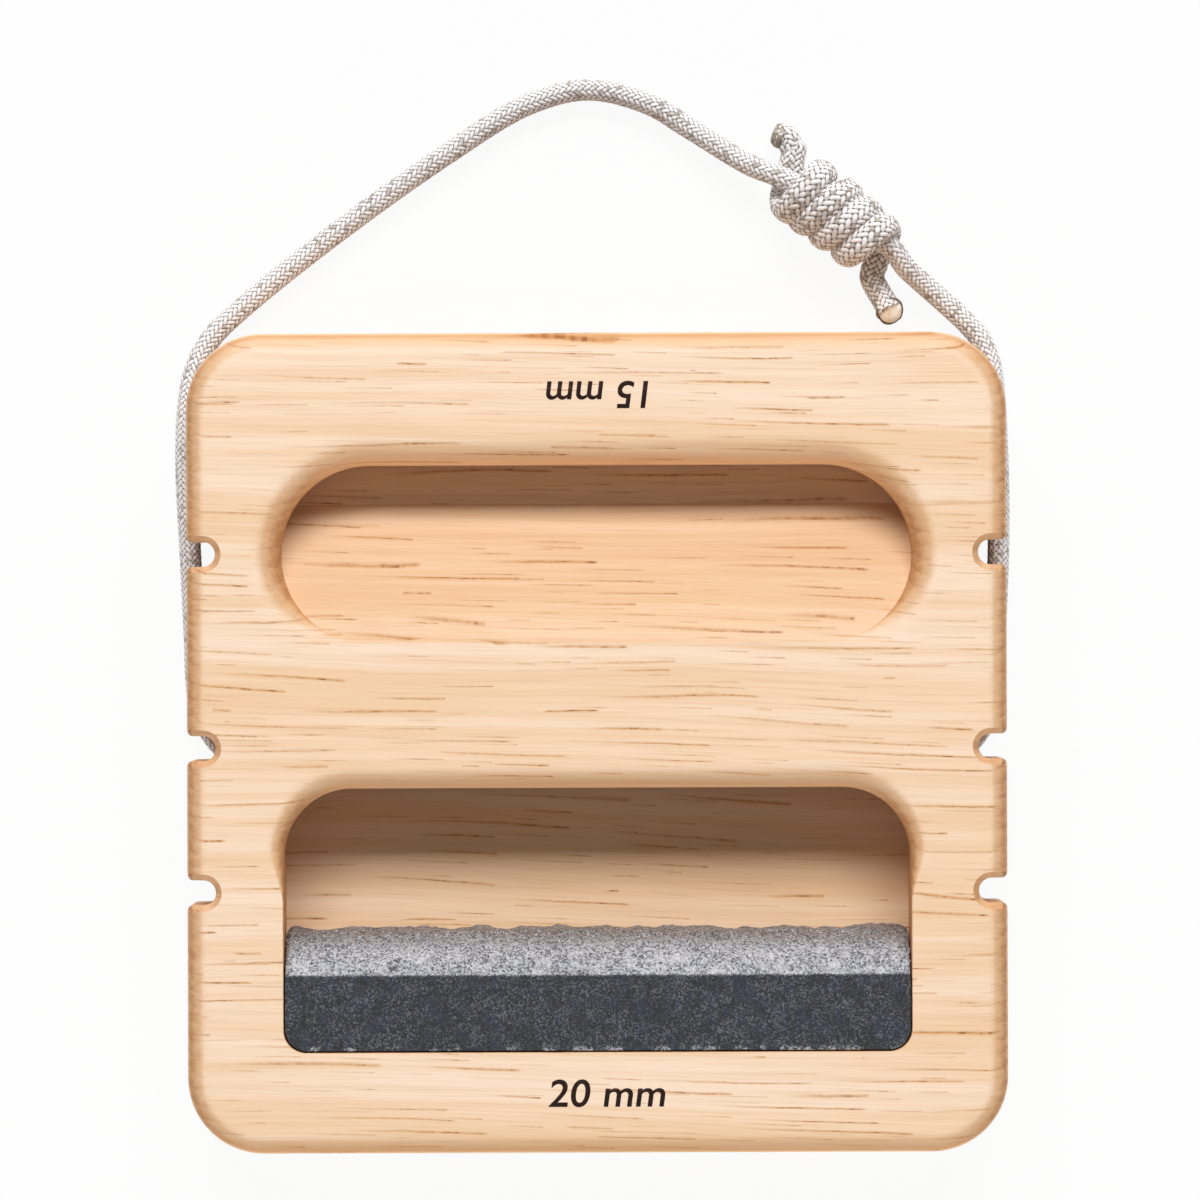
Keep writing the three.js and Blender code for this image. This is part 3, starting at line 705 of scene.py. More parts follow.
def chip_scatter(material):
    """A node tree that scatters small angular chips over the part of a mesh past a line in Y."""
    tree = bpy.data.node_groups.new("mineral chips", "GeometryNodeTree")
    for name, kind in (
        ("Geometry", "NodeSocketGeometry"), ("Line", "NodeSocketFloat"), ("Back", "NodeSocketFloat"),
        ("Density", "NodeSocketFloat"), ("Smallest", "NodeSocketFloat"), ("Largest", "NodeSocketFloat"),
        ("Seed", "NodeSocketInt"),
    ):
        tree.interface.new_socket(name, in_out="INPUT", socket_type=kind)
    tree.interface.new_socket("Geometry", in_out="OUTPUT", socket_type="NodeSocketGeometry")
    given = tree.nodes.new("NodeGroupInput").outputs
    seed = given["Seed"]
    y = separated(tree, node(tree, "GeometryNodeInputPosition").outputs[0])[1]
    past = node(tree, "FunctionNodeCompare", {0: y, 1: given["Line"]}, operation="GREATER_THAN").outputs[0]
    before = node(tree, "FunctionNodeCompare", {0: y, 1: given["Back"]}, operation="LESS_THAN").outputs[0]
    both = node(tree, "FunctionNodeBooleanMath", {0: past, 1: before}, operation="AND").outputs[0]
    points = node(tree, "GeometryNodeDistributePointsOnFaces", {
        "Mesh": given["Geometry"], "Selection": both, "Density": given["Density"], "Seed": seed,
    })
    chip = node(tree, "GeometryNodeMeshIcoSphere", {"Radius": 1.0, "Subdivisions": 1}).outputs[0]

    def drawn(low, high):
        inputs = {0: low, 1: high, "Seed": seed}
        return node(tree, "FunctionNodeRandomValue", inputs, data_type="FLOAT_VECTOR").outputs[0]

    size = drawn(*[combined(tree, *[given[name]] * 3) for name in ("Smallest", "Largest")])
    turn = drawn((0, 0, 0), (2 * math.pi,) * 3)
    chips = node(tree, "GeometryNodeInstanceOnPoints", {
        "Points": points.outputs["Points"], "Instance": chip, "Rotation": turn, "Scale": size,
    }).outputs[0]
    luck = node(tree, "FunctionNodeRandomValue", {"Seed": seed}, data_type="FLOAT").outputs[1]
    stored = node(tree, "GeometryNodeStoreNamedAttribute", {
        "Geometry": chips, "Name": "luck", "Value": luck,
    }, data_type="FLOAT", domain="INSTANCE").outputs[0]
    real = node(tree, "GeometryNodeRealizeInstances", {0: stored}).outputs[0]
    shaded = node(tree, "GeometryNodeSetMaterial", {"Geometry": real, "Material": material}).outputs[0]
    out = tree.nodes.new("NodeGroupOutput")
    tree.links.new(shaded, out.inputs[0])
    return tree


def make_stone_chips(stone, material):
    chips = bpy.data.objects.new("stone_chips", stone.data.copy())
    bpy.context.collection.objects.link(chips)
    modifier = chips.modifiers.new("chips", "NODES")
    modifier.node_group = chip_scatter(material)
    settings = {
        "Line": STONE_LINE_Y + CHIPS_START,
        "Back": STONE_LINE_Y + STONE_ROUGH_RUN_Y - CHIPS_STOP_SHORT,
        "Density": CHIPS_PER_SQUARE_METRE,
        "Smallest": SMALLEST_CHIP,
        "Largest": LARGEST_CHIP,
        "Seed": 5,
    }
    for item in modifier.node_group.interface.items_tree:
        if item.in_out == "INPUT" and item.name in settings:
            modifier[item.identifier] = settings[item.name]
    finish_modifiers(chips)
    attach(chips, "root")


# Depth marks


def flat_figures(words):
    """Figures in a plain leaning typeface, as a flat mesh."""
    text = bpy.data.curves.new("figures", "FONT")
    text.body = words
    text.shear = MARK_SHEAR_SHARE
    text.size = 1
    text.offset = MARK_BOLDNESS_SHARE
    text.space_character = MARK_SPACING_SHARE
    stand_in = bpy.data.objects.new("figures", text)
    bpy.context.collection.objects.link(stand_in)
    bpy.context.view_layer.update()
    mesh = evaluated_copy(stand_in)
    bpy.data.objects.remove(stand_in)
    return mesh


def sink(mesh):
    """Turns a flat mesh into a solid that reaches down by the marks' depth."""
    solid = bmesh.new()
    solid.from_mesh(mesh)
    bmesh.ops.remove_doubles(solid, verts=solid.verts, dist=MARK_PROUD / 4)
    bmesh.ops.recalc_face_normals(solid, faces=solid.faces)
    if sum(face.normal.z for face in solid.faces) < 0:
        bmesh.ops.reverse_faces(solid, faces=solid.faces)
    grown = bmesh.ops.extrude_face_region(solid, geom=list(solid.faces), use_keep_orig=True)
    for part in grown["geom"]:
        if isinstance(part, bmesh.types.BMVert):
            part.co.z -= MARK_DEPTH
    bmesh.ops.recalc_face_normals(solid, faces=solid.faces)
    solid.to_mesh(mesh)
    solid.free()


def make_depth_mark(name, words, centre, size, half_turn, material):
    """Burned figures, let into the face, of a given width and height."""
    mesh = flat_figures(words)
    spots = np.array([v.co for v in mesh.vertices])
    middle = (spots.max(0) + spots.min(0)) / 2
    spread = spots.max(0) - spots.min(0)
    turn = -1 if half_turn else 1
    for vertex in mesh.vertices:
        x = (vertex.co.x - middle[0]) * size[0] / spread[0] * turn
        y = (vertex.co.y - middle[1]) * size[1] / spread[1] * turn
        vertex.co = (centre[0] + x, centre[1] + y, BOARD_THICKNESS + MARK_PROUD)
    sink(mesh)
    mesh.materials.clear()
    mesh.materials.append(material)
    mark = bpy.data.objects.new(name, mesh)
    bpy.context.collection.objects.link(mark)
    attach(mark, "root")


# Cord and knot


def travelled_along(path):
    """How far along a path each of its points lies."""
    return np.concatenate([[0], np.cumsum(np.linalg.norm(np.diff(path, axis=0), axis=1))])


def smooth_path(points, spacing, steps=24, least=1e-6):
    """Points at an even spacing along the smooth curve that the CAD's cord follows."""
    points = [np.array(p, float) for p in points]
    points = [2 * points[0] - points[1], *points, 2 * points[-1] - points[-2]]
    fine = []
    for p0, p1, p2, p3 in zip(points, points[1:], points[2:], points[3:]):
        t0, t1, t2 = [max(np.linalg.norm(b - a) ** 0.5, least) for a, b in ((p0, p1), (p1, p2), (p2, p3))]
        leave = ((p1 - p0) / t0 - (p2 - p0) / (t0 + t1) + (p2 - p1) / t1) * t1
        arrive = ((p2 - p1) / t1 - (p3 - p1) / (t1 + t2) + (p3 - p2) / t2) * t1
        for share in np.linspace(0, 1, steps, endpoint=False):
            square, cube = share ** 2, share ** 3
            fine.append(
                p1 * (2 * cube - 3 * square + 1) + leave * (cube - 2 * square + share)
                + p2 * (3 * square - 2 * cube) + arrive * (cube - square)
            )
    fine = np.array([*fine, points[-2]])
    travelled = travelled_along(fine)
    count = max(round(travelled[-1] / spacing), 2)
    places = np.linspace(0, travelled[-1], count + 1)
    return np.stack([np.interp(places, travelled, fine[:, axis]) for axis in range(3)], axis=1)


def carried_frames(path):
    """Two directions square to the path at each point, carried along it without twist."""
    tangents = np.gradient(path, axis=0)
    tangents /= np.linalg.norm(tangents, axis=1)[:, None]
    side = np.cross(tangents[0], (0, 0, 1))
    sides = []
    for tangent in tangents:
        side = side - tangent * np.dot(side, tangent)
        side = side / np.linalg.norm(side)
        sides.append(side)
    sides = np.array(sides)
    return sides, np.cross(tangents, sides)


def braid_height(around, along):
    """The height of the woven sheath, from 0 to 1, at shares of a turn and floats along the cord."""
    first = BRAID_STRANDS * around + along
    second = BRAID_STRANDS * around - along
    row = np.mod(np.floor(first) + np.floor(second), 4)
    over = row < 2
    across = np.where(over, np.mod(first, 1), np.mod(second, 1))
    lengthwise = np.where(over, row + np.mod(second, 1), row - 2 + np.mod(first, 1)) / 2
    return np.sin(np.pi * across) ** 0.5 * np.abs(np.sin(np.pi * lengthwise)) ** 0.35


def make_cord_tube(name, path, material, radius=CORD_RADIUS, wrapped=0):
    """A closed tube with the sheath's relief, and a UV map of turns and floats.

    Where wrapped is 1 the cord is pressed wider along the knot and lower across it."""
    sides, ups = carried_frames(path)
    around = np.arange(CORD_SIDES) / CORD_SIDES
    along = travelled_along(path) / BRAID_FLOAT_SPACING
    middles = np.broadcast_to(radius, len(path))[:, None]
    reach = middles + CORD_RELIEF * (braid_height(around[None, :], along[:, None]) - 1)
    angles = 2 * np.pi * around
    spokes = (reach * np.cos(angles))[:, :, None] * sides[:, None, :]
    spokes += (reach * np.sin(angles))[:, :, None] * ups[:, None, :]
    pressed = np.broadcast_to(wrapped, len(path))[:, None, None]
    run = np.array(KNOT_RUN)
    along_knot = (spokes @ run)[:, :, None] * run
    spokes += pressed * (WRAP_HALF_HEIGHT_SHARE - 1) * (spokes - along_knot)
    spokes += pressed * (WRAP_HALF_WIDTH_SHARE - 1) * along_knot
    rings = path[:, None, :] + spokes
    points = [*rings.reshape(-1, 3), path[0], path[-1]]
    faces = wall_faces(len(path), CORD_SIDES) + pole_faces(len(path), CORD_SIDES)
    tube = mesh_object(name, points, faces, material)
    unwrap_tube(tube.data, along)
    tube.data.shade_smooth()
    return tube


def unwrap_tube(mesh, along):
    """Writes turns round the cord as U and floats along it as V."""
    layer = mesh.uv_layers.new(name="sheath")
    for face in mesh.polygons:
        on_ring = [v for v in face.vertices if v < len(along) * CORD_SIDES]
        seam = {v % CORD_SIDES for v in on_ring} == {0, CORD_SIDES - 1}
        for corner in face.loop_indices:
            vertex = mesh.loops[corner].vertex_index
            if vertex >= len(along) * CORD_SIDES:
                level = 0 if vertex == len(along) * CORD_SIDES else len(along) - 1
                layer.data[corner].uv = (0, along[level])
                continue
            side = vertex % CORD_SIDES
            turn = 1 if seam and side == 0 else side / CORD_SIDES
            layer.data[corner].uv = (turn, along[vertex // CORD_SIDES])


def knot_point(along, across, above):
    """A point of the knot, by how far it lies along, across and above the knot's axis."""
    rise = Vector((-KNOT_RUN.y, KNOT_RUN.x, 0))
    return KNOT_CENTRE + KNOT_RUN * along + rise * across + Vector((0, 0, above))


def tail_point(sign, out):
    """A point of a tail's first stretch, under the knot; the sign picks the tail, -1 the upper one."""
    angle = UPPER_TAIL_ANGLE if sign < 0 else LOWER_TAIL_ANGLE
    along = TAIL_BEND_ALONG + out * math.sin(angle)
    across = TAIL_BEND_ACROSS - out * math.cos(angle)
    return knot_point(sign * along, sign * across, TAIL_RADIUS - CORD_RADIUS - KNOT_WRAP_RADIUS)


def wrap_spots(first, last):
    """Where the wraps from first up to last start and end along the knot, in turn."""
    pairs = zip(WRAP_LOWER_ENDS[first:last], WRAP_UPPER_ENDS[first:last])
    return [place for pair in pairs for place in pair]


def wrap_points(angles, spots, sink_angles, sink_shares, step=15):
    """Points of the wraps' helix, by angles in degrees round the knot and spots along it.

    The helix sinks into the knot at the sink angles, by shares of the wraps' radius."""
    degrees = np.arange(angles[0], angles[-1] + 1, step)
    places = np.interp(degrees, angles, spots)
    reaches = KNOT_WRAP_RADIUS * np.interp(degrees, sink_angles, sink_shares)
    reaches *= np.interp(places, KNOT_TAPER_PLACES, KNOT_TAPER_SHARES)
    shifts = np.interp(places, KNOT_TAPER_PLACES, KNOT_TAPER_SHIFTS)
    made = []
    for degree, place, reach, shift in zip(degrees, places, reaches, shifts):
        turn = math.radians(degree)
        made.append(knot_point(place, shift + reach * math.sin(turn), reach * math.cos(turn)))
    return made


def make_loop(material):
    inner = LOOP_END_GAP / 2
    outer = LOOP_SQUARE_END
    lower_across, upper_across = LOOP_ENDS_ACROSS
    points = [knot_point(inner, 0, 0), knot_point(outer / 2, 0, 0), knot_point(outer, lower_across, 0)]
    points += CORD_ROUTE
    points += [knot_point(-outer, upper_across, 0), knot_point(-outer / 2, 0, 0), knot_point(-inner, 0, 0)]
    path = smooth_path(points, CORD_STEP)
    print(f"cord loop, length along its middle: {len(path) * CORD_STEP:.3f} m")
    loop = make_cord_tube("braided_loop", path, material)
    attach(loop, "root")
    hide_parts("cord_loop", "knot_core")
    return loop, path


def make_upper_half(material):
    """The knot's two upper wraps, with the tail that leaves from under them."""
    angles = [-150, -90, 90, 270, 450, 540, 600]
    spots = [UPPER_WRAPS_START, *wrap_spots(0, 2), -0.8 * KNOT_PARTING, -KNOT_PARTING]
    wraps = wrap_points(angles, spots, angles[-3:], WRAP_SINK_SHARES)
    tail = [*reversed(UPPER_TAIL_ROUTE), tail_point(-1, CORD_DIAMETER * 1.6), tail_point(-1, CORD_DIAMETER)]
    return make_knot_half("knot_upper_half", [*tail, tail_point(-1, 0), *wraps], "upper_tail", material)


def make_lower_half(material):
    """The knot's two lower wraps, with the tail that leaves from under them."""
    angles = [480, 540, 630, 810, 990, 1170, 1230]
    spots = [1.2 * KNOT_PARTING, KNOT_PARTING, *wrap_spots(2, 4), LOWER_WRAPS_END]
    wraps = wrap_points(angles, spots, angles[:3], WRAP_SINK_SHARES[::-1])
    tail = [tail_point(1, CORD_DIAMETER), tail_point(1, CORD_DIAMETER * 1.6), *LOWER_TAIL_ROUTE]
    return make_knot_half("knot_lower_half", [*wraps, tail_point(1, 0), *tail], "lower_tail", material)


def make_knot_half(name, points, tail_node, material):
    path = smooth_path(points, CORD_STEP)
    print(f"{name}, length along its middle: {len(path) * CORD_STEP:.3f} m")
    from_axis = np.abs((path - np.array(KNOT_CENTRE)) @ np.array(KNOT_RUN))
    wrapped = np.clip((TAIL_BEND_ALONG + CORD_RADIUS - from_axis) / CORD_RADIUS, 0, 1)
    radius = TAIL_RADIUS + wrapped * (CORD_RADIUS - TAIL_RADIUS)
    half = make_cord_tube(name, path, material, radius, wrapped)
    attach(half, "root")
    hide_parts("knot_wraps", tail_node)
    return half


def turned_cap(name, route, profile, bump_size, material, lean=0, sides=28):
    """A closed lump turned about a tail's end, from a list of places along it and radii.

    The lean turns it from the tail's own direction towards the front."""
    tip = Vector(route[-1])
    out = (tip - Vector(route[-2])).normalized()
    out = (out * math.cos(lean) + Vector((0, 0, math.sin(lean)))).normalized()
    side = out.cross(Vector((0, 0, 1))).normalized()
    up = side.cross(out)
    points = []
    for along, radius in profile:
        for i in range(sides):
            angle = 2 * math.pi * i / sides
            spoke = side * math.cos(angle) + up * math.sin(angle)
            place = tip + out * along + spoke * radius
            bump = bump_size * noise.noise(place / MELTED_LUMP_SIZE)
            points.append(place + spoke * bump + out * bump)
    points += [tip + out * profile[0][0], tip + out * profile[-1][0]]
    faces = wall_faces(len(profile), sides) + pole_faces(len(profile), sides)
    cap = mesh_object(name, points, faces, material)
    mended = bmesh.new()
    mended.from_mesh(cap.data)
    bmesh.ops.recalc_face_normals(mended, faces=mended.faces)
    mended.to_mesh(cap.data)
    mended.free()
    cap.data.shade_smooth()
    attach(cap, "root")
    return cap


def dome_profile(start, radius, height, rings=10):
    """A dome's places and radii, from its foot to near its top."""
    steps = [math.pi / 2 * ring / rings for ring in range(rings)]
    return [(start + height * math.sin(a), radius * math.cos(a) ** 0.7) for a in steps]


def make_upper_end(sealed):
    """The upper tail's cut end: a low grey brown seal over the last of the sheath."""
    foot = [(SEAL_FOOT, TAIL_RADIUS * SEAL_FOOT_SHARE)]
    dome = dome_profile(SEAL_START, TAIL_RADIUS * SEAL_SHARE, SEAL_HEIGHT)
    return [turned_cap("upper_melted_end", UPPER_TAIL_ROUTE, foot + dome, SEAL_BUMP, sealed)]


def make_lower_end(scorched, cream):
    """The lower tail's cut end: a dark swollen rim round a pale slanting face of melted core."""
    rim = [(place, TAIL_RADIUS * share) for place, share in zip(CUT_RIM_PLACES, CUT_RIM_SHARES)]
    dome = dome_profile(0, TAIL_RADIUS * CUT_FACE_SHARE, CUT_FACE_HEIGHT)
    return [
        turned_cap("lower_melted_rim", LOWER_TAIL_ROUTE, rim, CUT_RIM_BUMP, scorched, CUT_END_LEAN),
        turned_cap("lower_melted_end", LOWER_TAIL_ROUTE, dome, CUT_FACE_BUMP, cream, CUT_END_LEAN),
    ]


# Shader helpers


def new_material(name):
    material = bpy.data.materials.new(name)
    material.use_nodes = True
    material.node_tree.nodes.clear()
    return material


def node(tree, kind, inputs=None, **settings):
    """Adds a node. Each input is a value or the output of another node."""
    made = tree.nodes.new(kind)
    for name, value in settings.items():
        setattr(made, name, value)
    for key, value in (inputs or {}).items():
        if isinstance(value, bpy.types.NodeSocket):
            tree.links.new(value, made.inputs[key])
        else:
            made.inputs[key].default_value = value
    return made


def maths(tree, operation, first, second=0.0):
    return node(tree, "ShaderNodeMath", {0: first, 1: second}, operation=operation).outputs[0]


def times(tree, first, *others):
    for other in others:
        first = maths(tree, "MULTIPLY", first, other)
    return first


def plus(tree, first, *others):
    for other in others:
        first = maths(tree, "ADD", first, other)
    return first


def minus(tree, first, second):
    return maths(tree, "SUBTRACT", first, second)


def divided(tree, first, second):
    return maths(tree, "DIVIDE", first, second)


def vector_maths(tree, operation, first, second=(0, 0, 0)):
    return node(tree, "ShaderNodeVectorMath", {0: first, 1: second}, operation=operation).outputs


def scaled(tree, vector, scale):
    return node(tree, "ShaderNodeVectorMath", {0: vector, "Scale": scale}, operation="SCALE").outputs[0]


def separated(tree, vector):
    return tuple(node(tree, "ShaderNodeSeparateXYZ", {0: vector}).outputs)


def combined(tree, x, y, z=0):
    return node(tree, "ShaderNodeCombineXYZ", {0: x, 1: y, 2: z}).outputs[0]


def mix(tree, share, first, second, blend="MIX"):
    made = node(tree, "ShaderNodeMix", {0: share, 6: first, 7: second}, data_type="RGBA", blend_type=blend)
    return made.outputs[2]


def between(tree, value, low, high):
    """0 below low, 1 above high, and eased between them."""
    made = node(tree, "ShaderNodeMapRange", {0: value, 1: low, 2: high}, interpolation_type="SMOOTHSTEP")
    return made.outputs[0]


def object_place(tree):
    return node(tree, "ShaderNodeTexCoord").outputs["Object"]


def stretched(tree, vector, sizes, offset=(0, 0, 0)):
    """Coordinates in which a pattern repeats once in each of the given sizes."""
    scale = [1 / size for size in sizes]
    made = node(tree, "ShaderNodeMapping", {"Vector": vector, "Scale": scale, "Location": offset})
    return made.outputs[0]


def noise_value(tree, vector, detail=2.0, roughness=0.5):
    inputs = {"Vector": vector, "Scale": 1, "Detail": detail, "Roughness": roughness}
    return node(tree, "ShaderNodeTexNoise", inputs).outputs[0]


def random_value(tree, spot, dimensions):
    """The outputs of a random draw for each whole number in a spot."""
    return node(tree, "ShaderNodeTexWhiteNoise", {"Vector": spot}, noise_dimensions=dimensions).outputs


def new_group(name, inputs, outputs):
    """An empty shader group. Sockets named Vector and Normal are vectors, and the others are numbers."""
    group = bpy.data.node_groups.new(name, "ShaderNodeTree")
    for way, sockets in (("INPUT", inputs), ("OUTPUT", outputs)):
        for socket in sockets:
            kind = "NodeSocketVector" if socket in ("Vector", "Normal") else "NodeSocketFloat"
            group.interface.new_socket(socket, in_out=way, socket_type=kind)
    return group, group.nodes.new("NodeGroupInput").outputs, group.nodes.new("NodeGroupOutput").inputs


def placed(tree, group, inputs):
    return node(tree, "ShaderNodeGroup", inputs, node_tree=group).outputs


def surface(material, colour, roughness, height, bump_distance, bump_strength, **settings):
    """Ends a material in one Principled shader with a bump."""
    tree = material.node_tree
    relief = {"Height": height, "Distance": bump_distance, "Strength": bump_strength}
    bump = node(tree, "ShaderNodeBump", relief)
    inputs = {"Base Color": colour, "Roughness": roughness, "Normal": bump.outputs[0]}
    shader = node(tree, "ShaderNodeBsdfPrincipled", inputs)
    for key, value in settings.items():
        shader.inputs[key.replace("_", " ")].default_value = value
    out = node(tree, "ShaderNodeOutputMaterial")
    tree.links.new(shader.outputs[0], out.inputs[0])


# Shared effects


def wood_grain_group():
    """Pale ring-porous wood, its grain along X: colour bands, fibres and two sizes of pore line."""
    group, given, out = new_group("wood grain", ["Vector"], ["Band", "Fibre", "Glow", "Line", "Core"])
    here = given["Vector"]
    x, y, z = separated(group, here)
    drift = noise_value(group, stretched(group, here, GRAIN_DRIFT_SIZE), detail=1)
    shift = plus(group, times(group, drift, GRAIN_DRIFT), times(group, x, GRAIN_LEAN_SHARE))
    grain = combined(group, x, plus(group, y, shift), z)
    wide = noise_value(group, stretched(group, grain, WIDE_BAND_SIZE), detail=2)
    narrow = noise_value(group, stretched(group, grain, NARROW_BAND_SIZE), detail=3)
    group.links.new(plus(group, times(group, wide, 0.55), times(group, narrow, 0.45)), out["Band"])
    fibre = noise_value(group, stretched(group, grain, FIBRE_SIZE), detail=3, roughness=0.62)
    group.links.new(fibre, out["Fibre"])
    lines = pore_line_group()
    crowd = noise_value(group, stretched(group, grain, LINE_CROWD_SIZE, LINE_CROWD_OFFSET), detail=1)
    crowd = between(group, crowd, 0.3, 0.65)
    strong_crowd = plus(group, 0.42, times(group, crowd, 0.55))
    strong = placed(group, lines, {"Vector": grain, "Crowd": strong_crowd, **STRONG_LINES})
    faint_crowd = plus(group, 0.12, times(group, crowd, 0.35))
    faint = placed(group, lines, {"Vector": grain, "Crowd": faint_crowd, **FAINT_LINES})
    for name, share in (("Glow", 0.5), ("Line", 0.7), ("Core", 0.7)):
        weaker = times(group, faint[name], share)
        group.links.new(maths(group, "MAXIMUM", strong[name], weaker), out[name])
    return group


def pore_rows(group, place, row_gap):
    """Wandering rows: how many rows across the grain a place lies, and the number of its own row."""
    _, y, z = separated(group, place)
    wander = noise_value(group, stretched(group, place, ROW_WANDER_SIZE), detail=2)
    jitter = noise_value(group, stretched(group, place, ROW_JITTER_SIZE), detail=2)
    row = plus(
        group,
        divided(group, y, row_gap),
        times(group, wander, 2.2),
        times(group, jitter, 0.1),
        divided(group, z, ROW_DEPTH),
    )
    return row, maths(group, "FLOOR", row)


def pore_line_group():
    """Lines of pores in rows along X. Each fades in from its left end and stops short, darker, at its
    right end; Glow is its soft surround, Line the line itself and Core its dark pieces."""
    inputs = ["Vector", "Row Gap", "Cell", "Half Width", "Crowd", "Seed"]
    group, given, out = new_group("pore lines", inputs, ["Glow", "Line", "Core"])
    seed = given["Seed"]
    x = separated(group, given["Vector"])[0]
    row, number = pore_rows(group, given["Vector"], given["Row Gap"])
    row_luck = random_value(group, combined(group, number, seed), "2D")["Value"]
    along = plus(group, divided(group, x, given["Cell"]), times(group, row_luck, 37))
    cell = maths(group, "FLOOR", along)
    luck = random_value(group, combined(group, cell, number, seed), "3D")["Color"]
    length_luck, crowd_luck, own_luck = node(group, "ShaderNodeSeparateColor", {0: luck}).outputs
    length = plus(group, 0.25, times(group, length_luck, 0.72))
    travelled = divided(group, minus(group, along, cell), length)
    fade_in = between(group, travelled, 0, 0.6)
    stop = between(group, travelled, 1.01, 0.96)
    shown = maths(group, "LESS_THAN", crowd_luck, given["Crowd"])
    run = times(group, fade_in, stop, shown, plus(group, 0.4, times(group, own_luck, 0.6)))
    middle = plus(group, 0.25, times(group, own_luck, 0.5))
    off = maths(group, "ABSOLUTE", minus(group, minus(group, row, number), middle))
    off = divided(group, times(group, off, given["Row Gap"]), given["Half Width"])
    group.links.new(times(group, between(group, off, 3.6, 0), run), out["Glow"])
    piece_spot = combined(group, divided(group, x, PORE_PIECE), times(group, number, 3.7), seed)
    pieces = noise_value(group, piece_spot, detail=3, roughness=0.65)
    broken = plus(group, 0.5, times(group, between(group, pieces, 0.36, 0.6), 0.5))
    line = times(group, between(group, off, 1.5, 0.4), run, broken)
    group.links.new(line, out["Line"])
    dark = times(group, between(group, travelled, 0.2, 0.9), between(group, pieces, 0.5, 0.66))
    group.links.new(times(group, line, dark), out["Core"])
    return group


def facing_group():
    """How far a surface turns from the face, and how much of it is end grain, by its own normal."""
    group, given, out = new_group("facing", ["Normal"], ["Turned", "Steep", "End"])
    x, _, z = separated(group, given["Normal"])
    level = maths(group, "ABSOLUTE", z)
    group.links.new(between(group, level, 0.995, 0.88), out["Turned"])
    group.links.new(between(group, level, 0.92, 0.5), out["Steep"])
    group.links.new(between(group, maths(group, "ABSOLUTE", x), 0.1, 0.95), out["End"])
    return group


def speckle_group():
    """Mineral grains: an uneven tone from grain to grain, and slow patches."""
    group, given, out = new_group("mineral speckle", ["Vector", "Grain Size"], ["Grains", "Patches"])
    spread = scaled(group, given["Vector"], divided(group, 1, given["Grain Size"]))
    fine = noise_value(group, spread, detail=2, roughness=0.8)
    cells = node(group, "ShaderNodeTexVoronoi", {"Vector": spread, "Scale": 1.3})
    cell = node(group, "ShaderNodeSeparateColor", {0: cells.outputs["Color"]}).outputs[0]
    group.links.new(plus(group, times(group, fine, 0.6), times(group, cell, 0.4)), out["Grains"])
    group.links.new(noise_value(group, scaled(group, spread, 0.14), detail=2), out["Patches"])
    return group


# Materials


def toned(tree, colour, share, tone):
    """A colour, darkened by a tone where share is 1."""
    return mix(tree, share, colour, mix(tree, 1.0, colour, [*tone, 1], "MULTIPLY"))


def outer_side(tree, place, level):
    """1 on the board's outer sides and its back round-over, 0 on its face and in its pockets."""
    inner = BOARD_WIDTH / 2 - BOARD_CORNER_RADIUS
    flat = vector_maths(tree, "MULTIPLY", place, (1, 1, 0))[0]
    folded = vector_maths(tree, "ABSOLUTE", flat)[0]
    past = vector_maths(tree, "SUBTRACT", folded, (inner, inner, 0))[0]
    out = vector_maths(tree, "LENGTH", vector_maths(tree, "MAXIMUM", past)[0])["Value"]
    rim = between(tree, out, BOARD_CORNER_RADIUS * 0.96, BOARD_CORNER_RADIUS * 0.995)
    below = between(tree, level, BOARD_THICKNESS - FRONT_ROUND * 0.9, BOARD_THICKNESS - FRONT_ROUND * 1.1)
    return maths(tree, "MAXIMUM", rim, times(tree, below, between(tree, out, *OUTER_SIDE_FADE)))


def face_grain(tree, wood, glow, line, core):
    """The colour along the grain: bands, fibres, and pore lines over them."""
    colour = mix(tree, between(tree, wood["Band"], 0.36, 0.64), linear(WOOD_PALE), linear(WOOD_WARM))
    fibre = between(tree, wood["Fibre"], 0.45, 0.75)
    colour = mix(tree, times(tree, fibre, 0.35), colour, linear(WOOD_FIBRE))
    colour = mix(tree, times(tree, glow, 0.6), colour, linear(WOOD_FIBRE))
    colour = mix(tree, line, colour, linear(WOOD_LINE))
    return mix(tree, core, colour, linear(WOOD_LINE_CORE))


def end_grain(tree, place):
    """The colour of the board's ends: growth rings that start with a band of open pores."""
    flat = vector_maths(tree, "MULTIPLY", place, (0, 1, 1))[0]
    out = vector_maths(tree, "DISTANCE", flat, RING_HEART)["Value"]
    wander = noise_value(tree, stretched(tree, place, RING_WANDER_SIZE), detail=2)
    ring = plus(tree, divided(tree, out, RING_GAP), times(tree, wander, 3))
    porous = between(tree, maths(tree, "FRACT", ring), 0.7, 0.05)
    cloud = noise_value(tree, stretched(tree, place, END_CLOUD_SIZE), detail=3)
    tone = plus(tree, times(tree, between(tree, cloud, 0.35, 0.65), 0.6), times(tree, porous, 0.4))
    colour = mix(tree, tone, linear(WOOD_END_PALE), linear(WOOD_END_DARK))
    spots = stretched(tree, place, END_PORE_SIZE)
    holes = node(tree, "ShaderNodeTexVoronoi", {"Vector": spots, "Scale": 1}).outputs["Distance"]
    crowd = plus(tree, 0.08, times(tree, porous, 0.5))
    return mix(tree, times(tree, between(tree, holes, 0.34, 0.16), crowd), colour, linear(WOOD_LINE_CORE))


